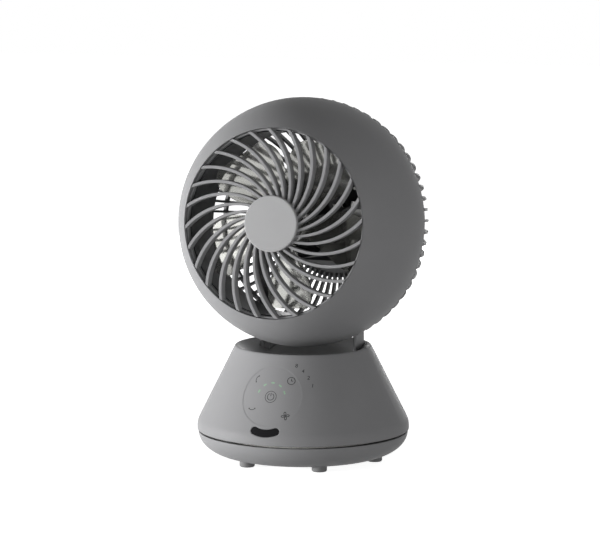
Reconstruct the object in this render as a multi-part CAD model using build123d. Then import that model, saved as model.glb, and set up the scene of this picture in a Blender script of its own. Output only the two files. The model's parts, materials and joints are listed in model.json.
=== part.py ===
from build123d import *
import os
from math import acos, asin, atan2, cos, degrees, pi, radians, sin, sqrt, tan

# Table-top air circulator: a ball-shaped head on two arms, a cone pedestal that pans on a round foot.
# Millimetres. The front is -Y, up is +Z, and the origin lies on the table under the pan axis.
# The head is drawn level about its own centre and then set at its tilt.

# Overall form
HEAD_R = 115.0  # radius of the ball head
REST_TILT = 5.0  # upward tilt at rest, in degrees
TILT_SPAN = 45.0  # travel from level to fully up, in degrees
BASE_R = 98.3  # widest radius of the cone pedestal
RIM_R = 62.6  # radius of the cone's upper rim
RIM_Z = 106.5  # height of the rim
SADDLE_GAP = 14.3  # gap between the ball and the hollow top of the cone
SHOULDER_RISE = 7.0  # from the cone's lower edge to where its slope starts
SHOULDER_ROUND = 18.0
CONE_WALL = 2.5
RIM_ROUND = 2.0
SEAM_Z = 26.0  # top edge of the lower tub
SEAM_GAP = 2.0  # dark line between tub and cone

# Lower tub and feet
TUB_INSET = 1.0  # how far the tub's edge lies inside the cone's
TUB_WALL = 2.5
TUB_SWEEP = 32.0  # how far the tub's wall curves in, from its edge to its flat floor
FOOT_HEIGHT = 4.0  # how far the feet stand out
FOOT_R = 7.0
FOOT_INSET = 28.1  # from the tub's edge to a foot's middle
FOOT_FIRST_ANGLE = 3.5
FOOT_COUNT = 6
FOOT_SOCKET = 1.6
FOOT_BEVEL = 0.8
BALLAST_IN_R = 22.0
BALLAST_GAP = 3.0
BALLAST_T = 5.0
PILLAR_R = 5.0
PILLAR_INSET = 5.3
PILLAR_COUNT = 4
GLAND_DROP = 6.0  # from the bearing plate down to the gland's middle
GLAND_R = 4.8
GLAND_BORE_R = 3.0
GLAND_LENGTH = 12.0
GLAND_STAND_OUT = 4.0
GLAND_BEVEL = 0.8

# Pan bearing and drive
PLATE_DROP = 5.0  # from the tub's edge down to the underside of the bearing plate
PLATE_T = 3.0
PLATE_CLEARANCE = 0.5
POST_R = 12.0
POST_BORE_R = 8.0
RUN_FIT = 0.05  # radial clearance of a running fit
LIFT = 0.3  # gap between flat faces that slide on each other
FLOOR_RISE = 3.0  # from the cone's lower edge up to the underside of the pedestal floor
FLOOR_T = 3.0
FLOOR_CLEARANCE = 0.8
BUSH_WALL = 3.0
BUSH_HEIGHT = 12.0
BUSH_FLANGE = 3.0
HUB_WALL = 4.0
NUT_R = 17.0
NUT_T = 4.0
SLIDE_RING_INSET = 14.0
SLIDE_RING_WIDTH = 5.0
GEAR_MODULE = 1.3
PAN_GEAR_TEETH = 45
PINION_TEETH = 15
GEAR_WIDTH = 5.0
TOOTH_BACKLASH = 0.35
TOOTH_HEIGHT = 0.8  # share of the module above and below the pitch circle
GEAR_ROOT_GAP = 0.35
PRESSURE_ANGLE = 20.0
PINION_AZIMUTH = 270.0  # seen from above, counted from +X
PAN_GEAR_WEB_R = 22.0

# Small gear motors for pan and tilt
GEARMOTOR_R = 14.0
GEARMOTOR_LENGTH = 19.0
GEARMOTOR_LUG_SPACING = 35.0
GEARMOTOR_LUG_WIDTH = 7.0
GEARMOTOR_LUG_T = 1.5
GEARMOTOR_LUG_ROUND = 3.4
DRIVE_SHAFT_R = 2.5

# Arms
ARM_IN_X = 44.6
ARM_T = 3.4
ARM_FRONT_Y = 11.5
ARM_WIDTH = 21.0
ARM_KNEE_Z = 150.0
ARM_EYE_R = 13.0
ARM_SLOT_GAP = 1.0
ARM_EDGE_ROUND = 1.2
ARM_FOOT_REACH = 16.0
ARM_FOOT_T = 4.0
COVER_DEPTH = 5.0
COVER_WALL = 1.2
COVER_MARGIN = 3.0
COVER_LOW_Z = 48.0
COVER_HIGH_Z = 154.0
TRUNNION_R = 6.0
TRUNNION_BORE_R = 3.5
TILT_BUSH_WALL = 2.0
TILT_BUSH_FLANGE = 2.0
TILT_BUSH_FLANGE_T = 0.8

# Touch panel and window on the cone
PANEL_SHARE = 0.39  # radius of the panel, as a share of the height from floor to rim
PANEL_DEPTH = 0.15
LIGHT_COUNT = 5
LIGHT_PITCH_R = 13.2
LIGHT_STEP = 34.0  # degrees between two light dashes
LIGHT_R = 1.5
BOARD_T = 1.6
CONTROL_BOARD_MARGIN = 3.9
CONTROL_BOARD_SET_BACK = 9.5  # from the outer face of the cone to the board's front
BOARD_POST_R = 2.5
BOARD_POST_INSET = 4.0
CHIP_SIZE = 9.0
WINDOW_RISE = 4.0  # above the start of the slope
WINDOW_SPAN = 20.2  # between the centres of the two round ends
WINDOW_SAG = 2.2
WINDOW_HEIGHT = 7.3
WINDOW_RECESS = 0.3
WINDOW_T = 2.0
WINDOW_GAP = 0.1
RECEIVER = (10.0, 7.0, 9.0)
RECEIVER_EYE = 1.0
POWER_BOARD = (64.0, 34.0)
POWER_BOARD_INSET = 10.7  # from the cone's widest radius to the board's far corners
STANDOFF_R = 2.5
STANDOFF_HEIGHT = 5.0
CAPACITOR_R = 5.0
CAPACITOR_HEIGHT = 12.0
CAPACITOR_STEP = 12.0
COIL_SIZE = (14.0, 12.0, 9.0)

# Ball head: shell, grilles and duct
SHELL_WALL = 2.5
SHELL_REAR_Y = 10.0
OPENING_R = 86.0
LIP_DEPTH = 7.0
GRILLE_GAP = 0.4
RING_WALL = 1.6
RING_SET_BACK = 4.0  # from the shell's opening to the ring that ties the vanes
FLANGE_T = 2.0
LIP_SEAT = 2.0  # how far the flanges reach behind the shell's lip
VANE_COUNT = 28
VANE_MID_R = 49.5
VANE_MID_ANGLE = 21.0
VANE_SWEEP = 43.0
VANE_HUB_CHORD = 2.4  # vane thickness along the circle, at the hub
VANE_RING_CHORD = 3.6
VANE_DEPTH = 8.5
VANE_SET_BACK = 0.3
HUB_R = 25.5
HUB_FORWARD = 5.0
CAP_T = 3.0
CAP_ROUND = 1.2
HUB_BOSS_T = 8.0
DUCT_INSET = 3.0  # how far the duct's bore lies inside the opening
DUCT_WALL = 2.0
DUCT_REAR_Y = -16.0
FIN_COUNT = 66
FIN_T = 2.0
FIN_DEPTH = 6.0
FIN_PROUD = 0.4  # fins stand this far out of the ball
FIN_SINK = 0.5  # fins end this far below the rear disc's face
BAND_SKIN = 1.0  # rim, hoop and slot frames are this much thinner than the fins
REAR_FLAT = 23.0  # how far the flat back lies inside the ball
REAR_BLEND_R = 50.0
FIN_LAP = 3.9  # how far the fins run on into the rear disc
REAR_DISC_T = 4.0
RIM_BAND = 3.0
TONGUE_LENGTH = 6.0
TONGUE_T = 2.0
TONGUE_GAP = 0.2
HOOP_Y = 50.0
HOOP_WIDTH = 2.5
HOOP_INSET = 2.5
SLOT_WALL = 2.0
SLOT_GAP = 1.2

# Tilt bracket and fan motor
EAR_GAP = 1.6  # between the bracket's ears and the arms
EAR_T = 3.5
BRACKET_T = 3.0
BRACKET_HALF_HEIGHT = 22.0
POST_PITCH_R = 45.0
REAR_POST_R = 5.0
REAR_POST_COUNT = 4
MOTOR_R = 33.0
MOTOR_GAP = 8.0  # between the impeller and the motor
MOTOR_FRONT_LENGTH = 30.0
MOTOR_REAR_LENGTH = 30.0
MOTOR_WALL = 2.0
MOTOR_VENTS = 12
MOTOR_VENT_WIDTH = 5.0
MOTOR_VENT_LENGTH = 14.0
STATOR_LENGTH = 26.0
STATOR_SLOTS = 9
STATOR_BORE_R = 15.0
STATOR_SLOT_DEPTH = 9.0
STATOR_SLOT_WIDTH = 5.0
ROTOR_GAP = 0.6
SHAFT_R = 4.0
BEARING_R = 9.0
BEARING_T = 7.0
BEARING_SEAT = 2.0

# Impeller
BLADE_COUNT = 5
BLADE_FIRST_ANGLE = 58.0
TIP_GAP = 5.0  # between the blades and the duct
IMPELLER_HUB_R = 21.0
IMPELLER_SET_BACK = 18.3  # from the opening to the front of the impeller
IMPELLER_DEPTH = 38.0
IMPELLER_WALL = 2.5
BLADE_T = 2.0
BLADE_EDGE_T = 0.8
BLADE_CAMBER = 0.1  # rise of a blade's section, as a share of its chord
# Share of the span, chord and pitch at the sections of a blade
BLADE_STATIONS = ((0.0, 36.0, 52.0), (0.4, 56.0, 38.0), (0.75, 64.0, 30.0), (1.0, 44.0, 27.0))
SPINNER_R = 9.0
SPINNER_LENGTH = 6.0

# Screws
SCREW_R = 1.6
SCREW_HEAD_R = 3.1
SCREW_HEAD_T = 2.2
SCREW_BITE = 8.0

# Places worked out from the sizes above
TUB_R = BASE_R - TUB_INSET
TUB_ROUND = SEAM_Z - FOOT_HEIGHT
TUB_FLAT_R = TUB_R - TUB_SWEEP
FOOT_PITCH_R = TUB_R - FOOT_INSET
PILLAR_PITCH_R = TUB_FLAT_R - PILLAR_INSET
BALLAST_OUT_R = PILLAR_PITCH_R - PILLAR_R - BALLAST_GAP
SADDLE_R = HEAD_R + SADDLE_GAP
HEAD_Z = RIM_Z + sqrt(SADDLE_R**2 - RIM_R**2)  # height of the ball's centre and the tilt axis
CONE_BOTTOM_Z = SEAM_Z + SEAM_GAP
SHOULDER_Z = CONE_BOTTOM_Z + SHOULDER_RISE
CONE_LEAN = atan2(BASE_R - RIM_R, RIM_Z - SHOULDER_Z)
PLATE_Z = SEAM_Z - PLATE_DROP
PLATE_TOP_Z = PLATE_Z + PLATE_T
GLAND_Z = PLATE_Z - GLAND_DROP
SLIDE_RING_R = BASE_R - SLIDE_RING_INSET
FLOOR_Z = CONE_BOTTOM_Z + FLOOR_RISE
FLOOR_TOP_Z = FLOOR_Z + FLOOR_T
PANEL_Z = (FLOOR_TOP_Z + RIM_Z) / 2
PANEL_R = PANEL_SHARE * (RIM_Z - FLOOR_TOP_Z)
CONTROL_BOARD_R = PANEL_R - CONTROL_BOARD_MARGIN
BOARD_POST_PITCH_R = CONTROL_BOARD_R - BOARD_POST_INSET
WINDOW_Z = SHOULDER_Z + WINDOW_RISE
POWER_BOARD_FAR_Y = sqrt((BASE_R - POWER_BOARD_INSET) ** 2 - (POWER_BOARD[0] / 2) ** 2)
POWER_BOARD_Y = POWER_BOARD_FAR_Y - POWER_BOARD[1] / 2
BUSH_TOP_Z = FLOOR_Z + BUSH_HEIGHT
POST_TOP_Z = BUSH_TOP_Z + LIFT + NUT_T
ARM_OUT_X = ARM_IN_X + ARM_T
ARM_REAR_Y = ARM_FRONT_Y + ARM_WIDTH
OPENING_Y = -sqrt(HEAD_R**2 - OPENING_R**2)
LIP_BACK_Y = OPENING_Y + LIP_DEPTH
DUCT_FRONT_Y = LIP_BACK_Y + FLANGE_T
RING_OUT_R = OPENING_R - GRILLE_GAP
RING_IN_R = RING_OUT_R - RING_WALL
RING_FRONT_Y = OPENING_Y + RING_SET_BACK
CAP_BACK_Y = OPENING_Y - HUB_FORWARD + CAP_T
DUCT_R = OPENING_R - DUCT_INSET
FIN_R = HEAD_R + FIN_PROUD
REAR_Y = HEAD_R - REAR_FLAT
FIN_BLEND_Y = REAR_Y - FIN_SINK - REAR_BLEND_R
FIN_BLEND_R = sqrt((FIN_R - REAR_BLEND_R) ** 2 - FIN_BLEND_Y**2)
REAR_DISC_R = FIN_BLEND_R + FIN_LAP
DISC_FRONT_Y = REAR_Y - REAR_DISC_T
EAR_X = ARM_IN_X - EAR_GAP  # outer face of the bracket's ears
IMPELLER_R = DUCT_R - TIP_GAP
IMPELLER_FRONT_Y = OPENING_Y + IMPELLER_SET_BACK
IMPELLER_REAR_Y = IMPELLER_FRONT_Y + IMPELLER_DEPTH
MOTOR_FRONT_Y = IMPELLER_REAR_Y + MOTOR_GAP
MOTOR_SPLIT_Y = MOTOR_FRONT_Y + MOTOR_FRONT_LENGTH
MOTOR_REAR_Y = MOTOR_SPLIT_Y + MOTOR_REAR_LENGTH
BRACKET_Y = MOTOR_REAR_Y  # front face of the bracket's plate
BRACKET_REAR_Y = BRACKET_Y + BRACKET_T
GEAR_DISTANCE = GEAR_MODULE * (PAN_GEAR_TEETH + PINION_TEETH) / 2
HEAD_PLACE = Pos(0, 0, HEAD_Z) * Rot(-REST_TILT, 0, 0)
UP = (0, 0, 1)
DOWN = (0, 0, -1)
BACK = (0, 1, 0)
FRONT = (0, -1, 0)
BOTTOM_ALIGNED = (Align.CENTER, Align.CENTER, Align.MIN)


def rod(start, direction, radius, length):
    """Round bar from a point along a direction."""
    return Plane(start, z_dir=direction) * Cylinder(radius, length, align=BOTTOM_ALIGNED)


def tube(outer, inner, low, high):
    """Upright ring between two heights."""
    ring = rod((0, 0, low), UP, outer, high - low)
    return ring - rod((0, 0, low), UP, inner, high - low)


def axial_tube(outer, inner, front, rear):
    """Ring along the fan axis between two depths."""
    ring = rod((0, front, 0), BACK, outer, rear - front)
    return ring - rod((0, front, 0), BACK, inner, rear - front)


def polar(radius, angle):
    return (radius * cos(radians(angle)), radius * sin(radians(angle)))


def circle_points(radius, count, first=0.0):
    """Evenly spaced points on a circle."""
    return [polar(radius, first + 360 * k / count) for k in range(count)]


def ball_point(radius, y):
    return (sqrt(radius**2 - y**2), y)


def ball_arc(radius, y_from, y_to):
    """Arc of a circle about the origin, between two depths."""
    middle = (asin(y_from / radius) + asin(y_to / radius)) / 2
    return ThreePointArc(
        ball_point(radius, y_from), ball_point(radius, radius * sin(middle)), ball_point(radius, y_to)
    )


def screw(head_seat, direction, length, radius=SCREW_R):
    """Pan-head screw whose shank runs from the seat along the direction."""
    shank = rod(head_seat, direction, radius, length)
    back = tuple(-d for d in direction)
    head = rod(head_seat, back, SCREW_HEAD_R, SCREW_HEAD_T)
    return shank + chamfer(head.edges().group_by(Axis(head_seat, back))[-1], SCREW_HEAD_T / 3)


# Lower tub


def tub_radius(z, inset=0.0):
    """Radius of the tub's rounded wall at a height, outside or inset from there."""
    drop = (SEAM_Z - z) / (TUB_ROUND - inset)
    return TUB_FLAT_R + (TUB_SWEEP - inset) * sqrt(1 - drop**2)


def tub_round(inset):
    return EllipticalCenterArc((TUB_FLAT_R, SEAM_Z), TUB_SWEEP - inset, TUB_ROUND - inset, -90, arc_size=90)


def foot_points():
    return circle_points(FOOT_PITCH_R, FOOT_COUNT, FOOT_FIRST_ANGLE)


def pillar_points():
    return circle_points(PILLAR_PITCH_R, PILLAR_COUNT, 360 / PILLAR_COUNT / 2)


def gland_start():
    return (0, tub_radius(GLAND_Z) + GLAND_STAND_OUT - GLAND_LENGTH, GLAND_Z)


def make_base_tub():
    outer = tub_round(0)
    inner = tub_round(TUB_WALL)
    floor_z = FOOT_HEIGHT + TUB_WALL
    outline = [
        Line((0, FOOT_HEIGHT), outer @ 0),
        outer,
        Line(outer @ 1, inner @ 1),
        inner,
        Line(inner @ 0, (0, floor_z)),
        Line((0, floor_z), (0, FOOT_HEIGHT)),
    ]
    tub = revolve(Plane.XZ * make_face(outline), Axis.Z)
    for x, y in pillar_points():
        tub += rod((x, y, FOOT_HEIGHT), UP, PILLAR_R, PLATE_Z - FOOT_HEIGHT)
        tub -= rod((x, y, FOOT_HEIGHT), UP, SCREW_R, PLATE_Z)
        tub -= rod((x, y, FOOT_HEIGHT), UP, SCREW_HEAD_R, SCREW_HEAD_T + TUB_WALL)
    for x, y in foot_points():
        tub -= rod((x, y, FOOT_HEIGHT), UP, FOOT_R, FOOT_SOCKET)
    tub -= rod(gland_start(), BACK, GLAND_R, GLAND_LENGTH)
    return tub


def make_rubber_feet():
    feet = []
    for x, y in foot_points():
        foot = rod((x, y, 0), UP, FOOT_R, FOOT_HEIGHT + FOOT_SOCKET)
        feet.append(chamfer(foot.edges().group_by(Axis.Z)[0], FOOT_BEVEL))
    return feet


def make_ballast_plate():
    floor_z = FOOT_HEIGHT + TUB_WALL
    return tube(BALLAST_OUT_R, BALLAST_IN_R, floor_z, floor_z + BALLAST_T)


def make_base_plate():
    """Bearing plate with the hollow post that the pedestal turns on."""
    plate_r = tub_radius(PLATE_Z, TUB_WALL) - PLATE_CLEARANCE
    plate = rod((0, 0, PLATE_Z), UP, plate_r, PLATE_T)
    plate += rod((0, 0, PLATE_Z), UP, POST_R, POST_TOP_Z - PLATE_Z)
    plate -= rod((0, 0, PLATE_Z), UP, POST_BORE_R, POST_TOP_Z - PLATE_Z)
    for x, y in pillar_points():
        plate -= rod((x, y, PLATE_Z), UP, SCREW_R, PLATE_T)
    return plate


def make_base_screws():
    seat_z = FOOT_HEIGHT + SCREW_HEAD_T + TUB_WALL
    return [screw((x, y, seat_z), UP, PLATE_TOP_Z - seat_z) for x, y in pillar_points()]


def make_cord_gland():
    """Sleeve with a bevelled mouth in the back of the tub."""
    gland = rod(gland_start(), BACK, GLAND_R, GLAND_LENGTH)
    gland = chamfer(gland.edges().group_by(Axis.Y)[-1], GLAND_BEVEL)
    return gland - rod(gland_start(), BACK, GLAND_BORE_R, GLAND_LENGTH)


# Pan drive


def involute_point(base_r, radius):
    """Angle along an involute, in degrees, where it reaches a radius."""
    pressure = acos(min(1.0, base_r / radius))
    return degrees(tan(pressure) - pressure)


def gear_face(teeth):
    """Outline of a spur gear with a gap of the given backlash in its mesh."""
    pitch_r = GEAR_MODULE * teeth / 2
    tip_r = pitch_r + GEAR_MODULE * TOOTH_HEIGHT
    root_r = pitch_r - GEAR_MODULE * TOOTH_HEIGHT - GEAR_ROOT_GAP
    base_r = pitch_r * cos(radians(PRESSURE_ANGLE))
    half_pitch = 90 / teeth - degrees(TOOTH_BACKLASH / 4 / pitch_r)
    half_base = half_pitch + involute_point(base_r, pitch_r)
    flank = [max(root_r, base_r), pitch_r, tip_r]
    outline = []
    for k in range(teeth):
        middle = 360 * k / teeth
        outline.append(polar(root_r, middle - half_base))
        outline += [polar(r, middle - half_base + involute_point(base_r, r)) for r in flank]
        outline += [polar(r, middle + half_base - involute_point(base_r, r)) for r in reversed(flank)]
        outline.append(polar(root_r, middle + half_base))
    return make_face(Polyline(*outline, close=True))


def make_pan_ring_gear():
    """Gear fixed round the post; a tooth points at the pinion."""
    gear = extrude(gear_face(PAN_GEAR_TEETH), GEAR_WIDTH)
    gear = Pos(0, 0, PLATE_TOP_Z) * Rot(0, 0, PINION_AZIMUTH) * gear
    return gear - rod((0, 0, PLATE_TOP_Z), UP, PAN_GEAR_WEB_R, GEAR_WIDTH)


def pinion_place():
    x, y = polar(GEAR_DISTANCE, PINION_AZIMUTH)
    return (x, y, PLATE_TOP_Z + LIFT)


def make_pan_pinion():
    """Pinion on its own shaft stub; a tooth gap faces the fixed gear."""
    half_step = 180 / PINION_TEETH
    gear = extrude(gear_face(PINION_TEETH), GEAR_WIDTH)
    gear = Pos(*pinion_place()) * Rot(0, 0, PINION_AZIMUTH + 180 + half_step) * gear
    shaft_length = FLOOR_TOP_Z - PLATE_TOP_Z - LIFT + GEARMOTOR_LENGTH / 2
    return gear + rod(pinion_place(), UP, DRIVE_SHAFT_R, shaft_length)


def gear_motor(start, direction, lug_direction):
    """Flat round gear motor that stands on its lugs, with a bore for the drive shaft."""
    base = Plane(start, x_dir=lug_direction, z_dir=direction)
    can = base * Cylinder(GEARMOTOR_R, GEARMOTOR_LENGTH, align=BOTTOM_ALIGNED)
    lug_length = GEARMOTOR_LUG_SPACING + GEARMOTOR_LUG_WIDTH
    lug_plate = RectangleRounded(lug_length, GEARMOTOR_LUG_WIDTH, GEARMOTOR_LUG_ROUND)
    motor = can + extrude(base * lug_plate, GEARMOTOR_LUG_T)
    bore_r = DRIVE_SHAFT_R + RUN_FIT
    motor -= base * Cylinder(bore_r, GEARMOTOR_LENGTH - CONE_WALL, align=BOTTOM_ALIGNED)
    for side in (-1, 1):
        motor -= base * Pos(side * GEARMOTOR_LUG_SPACING / 2, 0, 0) * Cylinder(
            SCREW_R, GEARMOTOR_LUG_T, align=BOTTOM_ALIGNED
        )
    return motor


def pan_motor_start():
    x, y = polar(GEAR_DISTANCE, PINION_AZIMUTH)
    return (x, y, FLOOR_TOP_Z)


def make_pan_motor():
    x, y = polar(1, PINION_AZIMUTH + 90)
    return gear_motor(pan_motor_start(), UP, (x, y, 0))


def make_slide_ring():
    return tube(SLIDE_RING_R, SLIDE_RING_R - SLIDE_RING_WIDTH, PLATE_TOP_Z, FLOOR_Z - LIFT)


def make_pan_nut():
    blank = extrude(RegularPolygon(NUT_R, 6), NUT_T)
    low = BUSH_TOP_Z + LIFT
    return Pos(0, 0, low) * blank - rod((0, 0, low), UP, POST_R, NUT_T)


# Cone pedestal


def cone_solid(inset):
    """Solid inside the cone's outer wall, moved inwards by the inset, below its hollow top."""
    lean = tan(CONE_LEAN)
    shift = inset / cos(CONE_LEAN)
    wall_r = BASE_R - inset
    corner_z = SHOULDER_Z + (inset - shift) / lean
    tip_z = RIM_Z + SADDLE_GAP
    tip_r = RIM_R - shift - (tip_z - RIM_Z) * lean
    side = FilletPolyline(
        (wall_r, CONE_BOTTOM_Z), (wall_r, corner_z), (tip_r, tip_z), radius=SHOULDER_ROUND - inset
    )
    outline = [
        side,
        Line((tip_r, tip_z), (0, tip_z)),
        Line((0, tip_z), (0, CONE_BOTTOM_Z)),
        Line((0, CONE_BOTTOM_Z), (wall_r, CONE_BOTTOM_Z)),
    ]
    solid = revolve(Plane.XZ * make_face(outline), Axis.Z)
    return solid - Pos(0, 0, HEAD_Z) * Sphere(SADDLE_R + inset)


def cone_radius(z):
    """Outside radius of the cone's slope at a height."""
    return RIM_R + (RIM_Z - z) * tan(CONE_LEAN)


def cone_inner_radius(z):
    return cone_radius(z) - CONE_WALL / cos(CONE_LEAN)


def cone_front_plane(z):
    """Plane on the cone's outer face at the front, with its second axis up the slope."""
    radius = cone_radius(z)
    outward = (0, -cos(CONE_LEAN), sin(CONE_LEAN))
    return Plane((0, -radius, z), x_dir=(1, 0, 0), z_dir=outward)


def window_face(shrink):
    """Kidney outline of the receiver window, drawn on its plane."""
    half = WINDOW_SPAN / 2
    spine = ThreePointArc((-half, WINDOW_SAG), (0, 0), (half, WINDOW_SAG))
    return SlotArc(spine, WINDOW_HEIGHT - 2 * shrink)


def window_prism(shrink):
    depth = 2 * SADDLE_GAP
    return extrude(cone_front_plane(WINDOW_Z) * window_face(shrink), depth / 2, both=True)


def cone_boss_points():
    boss_r = BASE_R - CONE_WALL - SCREW_BITE
    return circle_points(boss_r, PILLAR_COUNT, 360 / PILLAR_COUNT / 2)


def arm_slot(side):
    """Slot through the hollow top for one arm; the left one also passes the cable cover."""
    inner = ARM_IN_X - ARM_SLOT_GAP
    if side < 0:
        inner -= COVER_DEPTH
    outer = ARM_OUT_X + ARM_SLOT_GAP
    length = ARM_WIDTH + 2 * ARM_SLOT_GAP
    opening = RectangleRounded(outer - inner, length, ARM_EDGE_ROUND)
    centre = Pos(side * (inner + outer) / 2, ARM_FRONT_Y + ARM_WIDTH / 2, RIM_Z - 2 * SADDLE_GAP)
    return extrude(centre * opening, 3 * SADDLE_GAP)


def make_cone_housing():
    outer = cone_solid(0)
    inner = cone_solid(CONE_WALL)
    cone = outer - inner
    rim = cone.edges().filter_by(GeomType.CIRCLE).sort_by(Axis.Z)[-1]
    cone = fillet(rim, RIM_ROUND)
    for x, y in cone_boss_points():
        boss = rod((x, y, FLOOR_TOP_Z), UP, PILLAR_R, RIM_Z - FLOOR_TOP_Z) & inner
        boss -= rod((x, y, FLOOR_TOP_Z), UP, SCREW_R, SCREW_BITE)
        cone += boss
    panel = cone_front_plane(PANEL_Z) * Cylinder(PANEL_R, 2 * SADDLE_GAP)
    cone -= panel & (outer - cone_solid(PANEL_DEPTH))
    cone -= window_prism(0)
    for side in (-1, 1):
        cone -= arm_slot(side)
    board_plane = cone_front_plane(PANEL_Z)
    for x, y in circle_points(BOARD_POST_PITCH_R, 3, 90):
        post = board_plane * Pos(x, y, -CONTROL_BOARD_SET_BACK) * Cylinder(
            BOARD_POST_R, CONTROL_BOARD_SET_BACK, align=BOTTOM_ALIGNED
        )
        cone += post & inner
    return cone


def make_ir_window():
    skin = cone_solid(WINDOW_RECESS) - cone_solid(WINDOW_RECESS + WINDOW_T)
    return window_prism(WINDOW_GAP) & skin


def make_pedestal_floor():
    """Round floor of the cone with the hub of the pan bearing."""
    floor = rod((0, 0, FLOOR_Z), UP, BASE_R - CONE_WALL - FLOOR_CLEARANCE, FLOOR_T)
    hub_r = POST_R + RUN_FIT + BUSH_WALL
    floor += rod((0, 0, FLOOR_Z), UP, hub_r + HUB_WALL, BUSH_HEIGHT - BUSH_FLANGE)
    floor -= rod((0, 0, FLOOR_Z), UP, hub_r, BUSH_HEIGHT)
    shaft_x, shaft_y, _ = pan_motor_start()
    floor -= rod((shaft_x, shaft_y, FLOOR_Z), UP, DRIVE_SHAFT_R + LIFT, FLOOR_T)
    for x, y in cone_boss_points():
        floor -= rod((x, y, FLOOR_Z), UP, SCREW_R, FLOOR_T)
        floor -= rod((x, y, FLOOR_Z), UP, SCREW_HEAD_R, SCREW_HEAD_T)
    for x, y in standoff_points():
        floor += rod((x, y, FLOOR_TOP_Z), UP, STANDOFF_R, STANDOFF_HEIGHT)
    return floor


def make_floor_screws():
    bite = FLOOR_T - SCREW_HEAD_T + SCREW_BITE
    return [screw((x, y, FLOOR_Z + SCREW_HEAD_T), UP, bite) for x, y in cone_boss_points()]


def make_pan_bush():
    bore_r = POST_R + RUN_FIT
    bush = tube(bore_r + BUSH_WALL, bore_r, FLOOR_Z, BUSH_TOP_Z)
    flange_z = BUSH_TOP_Z - BUSH_FLANGE
    return bush + tube(bore_r + BUSH_WALL + HUB_WALL, bore_r, flange_z, BUSH_TOP_Z)


def make_control_board():
    """Round board behind the touch panel, on the posts of the cone."""
    plane = cone_front_plane(PANEL_Z)
    back = -CONTROL_BOARD_SET_BACK - BOARD_T
    board = plane * Pos(0, 0, back) * Cylinder(CONTROL_BOARD_R, BOARD_T, align=BOTTOM_ALIGNED)
    chip = Box(CHIP_SIZE, CHIP_SIZE, BOARD_T, align=(Align.CENTER, Align.CENTER, Align.MAX))
    return board + plane * Pos(0, 0, back) * chip


def light_angles():
    return [90 + LIGHT_STEP * (k - (LIGHT_COUNT - 1) / 2) for k in range(LIGHT_COUNT)]


def make_light_lenses():
    """Light guides from the board to the inside of the touch panel."""
    plane = cone_front_plane(PANEL_Z)
    inside = cone_solid(CONE_WALL + LIFT)
    lenses = []
    for angle in light_angles():
        x, y = polar(LIGHT_PITCH_R, angle)
        lens = plane * Pos(x, y, -CONTROL_BOARD_SET_BACK) * Cylinder(
            LIGHT_R, CONTROL_BOARD_SET_BACK, align=BOTTOM_ALIGNED
        )
        lenses.append(lens & inside)
    return lenses


def make_ir_receiver():
    """Receiver block that stands on the floor behind the window."""
    width, depth, height = RECEIVER
    top_wall_r = cone_inner_radius(FLOOR_TOP_Z + height)
    y = LIFT + RECEIVER_EYE + depth / 2 - top_wall_r
    block = Pos(0, y, FLOOR_TOP_Z) * Box(width, depth, height, align=BOTTOM_ALIGNED)
    eye_z = FLOOR_TOP_Z + height / 2
    return block + rod((0, y - depth / 2, eye_z), FRONT, depth / 3, RECEIVER_EYE)


def standoff_points():
    half_x = POWER_BOARD[0] / 2 - 2 * STANDOFF_R
    half_y = POWER_BOARD[1] / 2 - 2 * STANDOFF_R
    return [(sx * half_x, POWER_BOARD_Y + sy * half_y) for sx in (-1, 1) for sy in (-1, 1)]


def make_power_board():
    low = FLOOR_TOP_Z + STANDOFF_HEIGHT
    width, depth = POWER_BOARD
    board = Pos(0, POWER_BOARD_Y, low) * Box(width, depth, BOARD_T, align=BOTTOM_ALIGNED)
    top = low + BOARD_T
    for k in (-1, 0, 1):
        spot = (CAPACITOR_STEP * k, POWER_BOARD_Y + depth / 4, top)
        board += rod(spot, UP, CAPACITOR_R, CAPACITOR_HEIGHT)
    board += Pos(0, POWER_BOARD_Y - depth / 4, top) * Box(*COIL_SIZE, align=BOTTOM_ALIGNED)
    return board


# Arms and tilt pivots


def arm_outline():
    """Side view of an arm: upright below, leaning forward to the eye on the tilt axis."""
    half = ARM_WIDTH / 2
    middle_y = ARM_FRONT_Y + half
    knee = Pos(middle_y, ARM_KNEE_Z) * Circle(half)
    eye = Pos(0, HEAD_Z) * Circle(ARM_EYE_R)
    lean = make_hull(knee.edges() + eye.edges())
    stem_height = ARM_KNEE_Z - FLOOR_TOP_Z
    stem = Pos(middle_y, FLOOR_TOP_Z + stem_height / 2) * Rectangle(ARM_WIDTH, stem_height)
    return lean + stem


def arm_screw_points():
    y = ARM_FRONT_Y + ARM_WIDTH / 2
    x = ARM_IN_X - ARM_FOOT_REACH / 2
    return [(x, y - ARM_WIDTH / 4), (x, y + ARM_WIDTH / 4)]


def make_right_arm():
    arm = extrude(Plane.YZ.offset(ARM_IN_X) * arm_outline(), ARM_T)
    front_edges = arm.edges().filter_by(Axis.Z).group_by(Axis.Y)[0]
    arm = fillet(front_edges, ARM_EDGE_ROUND)
    foot_x = ARM_IN_X - ARM_FOOT_REACH / 2
    foot_y = ARM_FRONT_Y + ARM_WIDTH / 2
    foot = Box(ARM_FOOT_REACH, ARM_WIDTH - 2 * ARM_EDGE_ROUND, ARM_FOOT_T, align=BOTTOM_ALIGNED)
    arm += Pos(foot_x, foot_y, FLOOR_TOP_Z) * foot
    for x, y in arm_screw_points():
        arm -= rod((x, y, FLOOR_TOP_Z), UP, SCREW_R, ARM_FOOT_T)
    bush_r = TRUNNION_R + RUN_FIT + TILT_BUSH_WALL
    return arm - rod((ARM_IN_X, 0, HEAD_Z), (1, 0, 0), bush_r, ARM_T)


def make_left_arm():
    return mirror(make_right_arm(), Plane.YZ)


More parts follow.
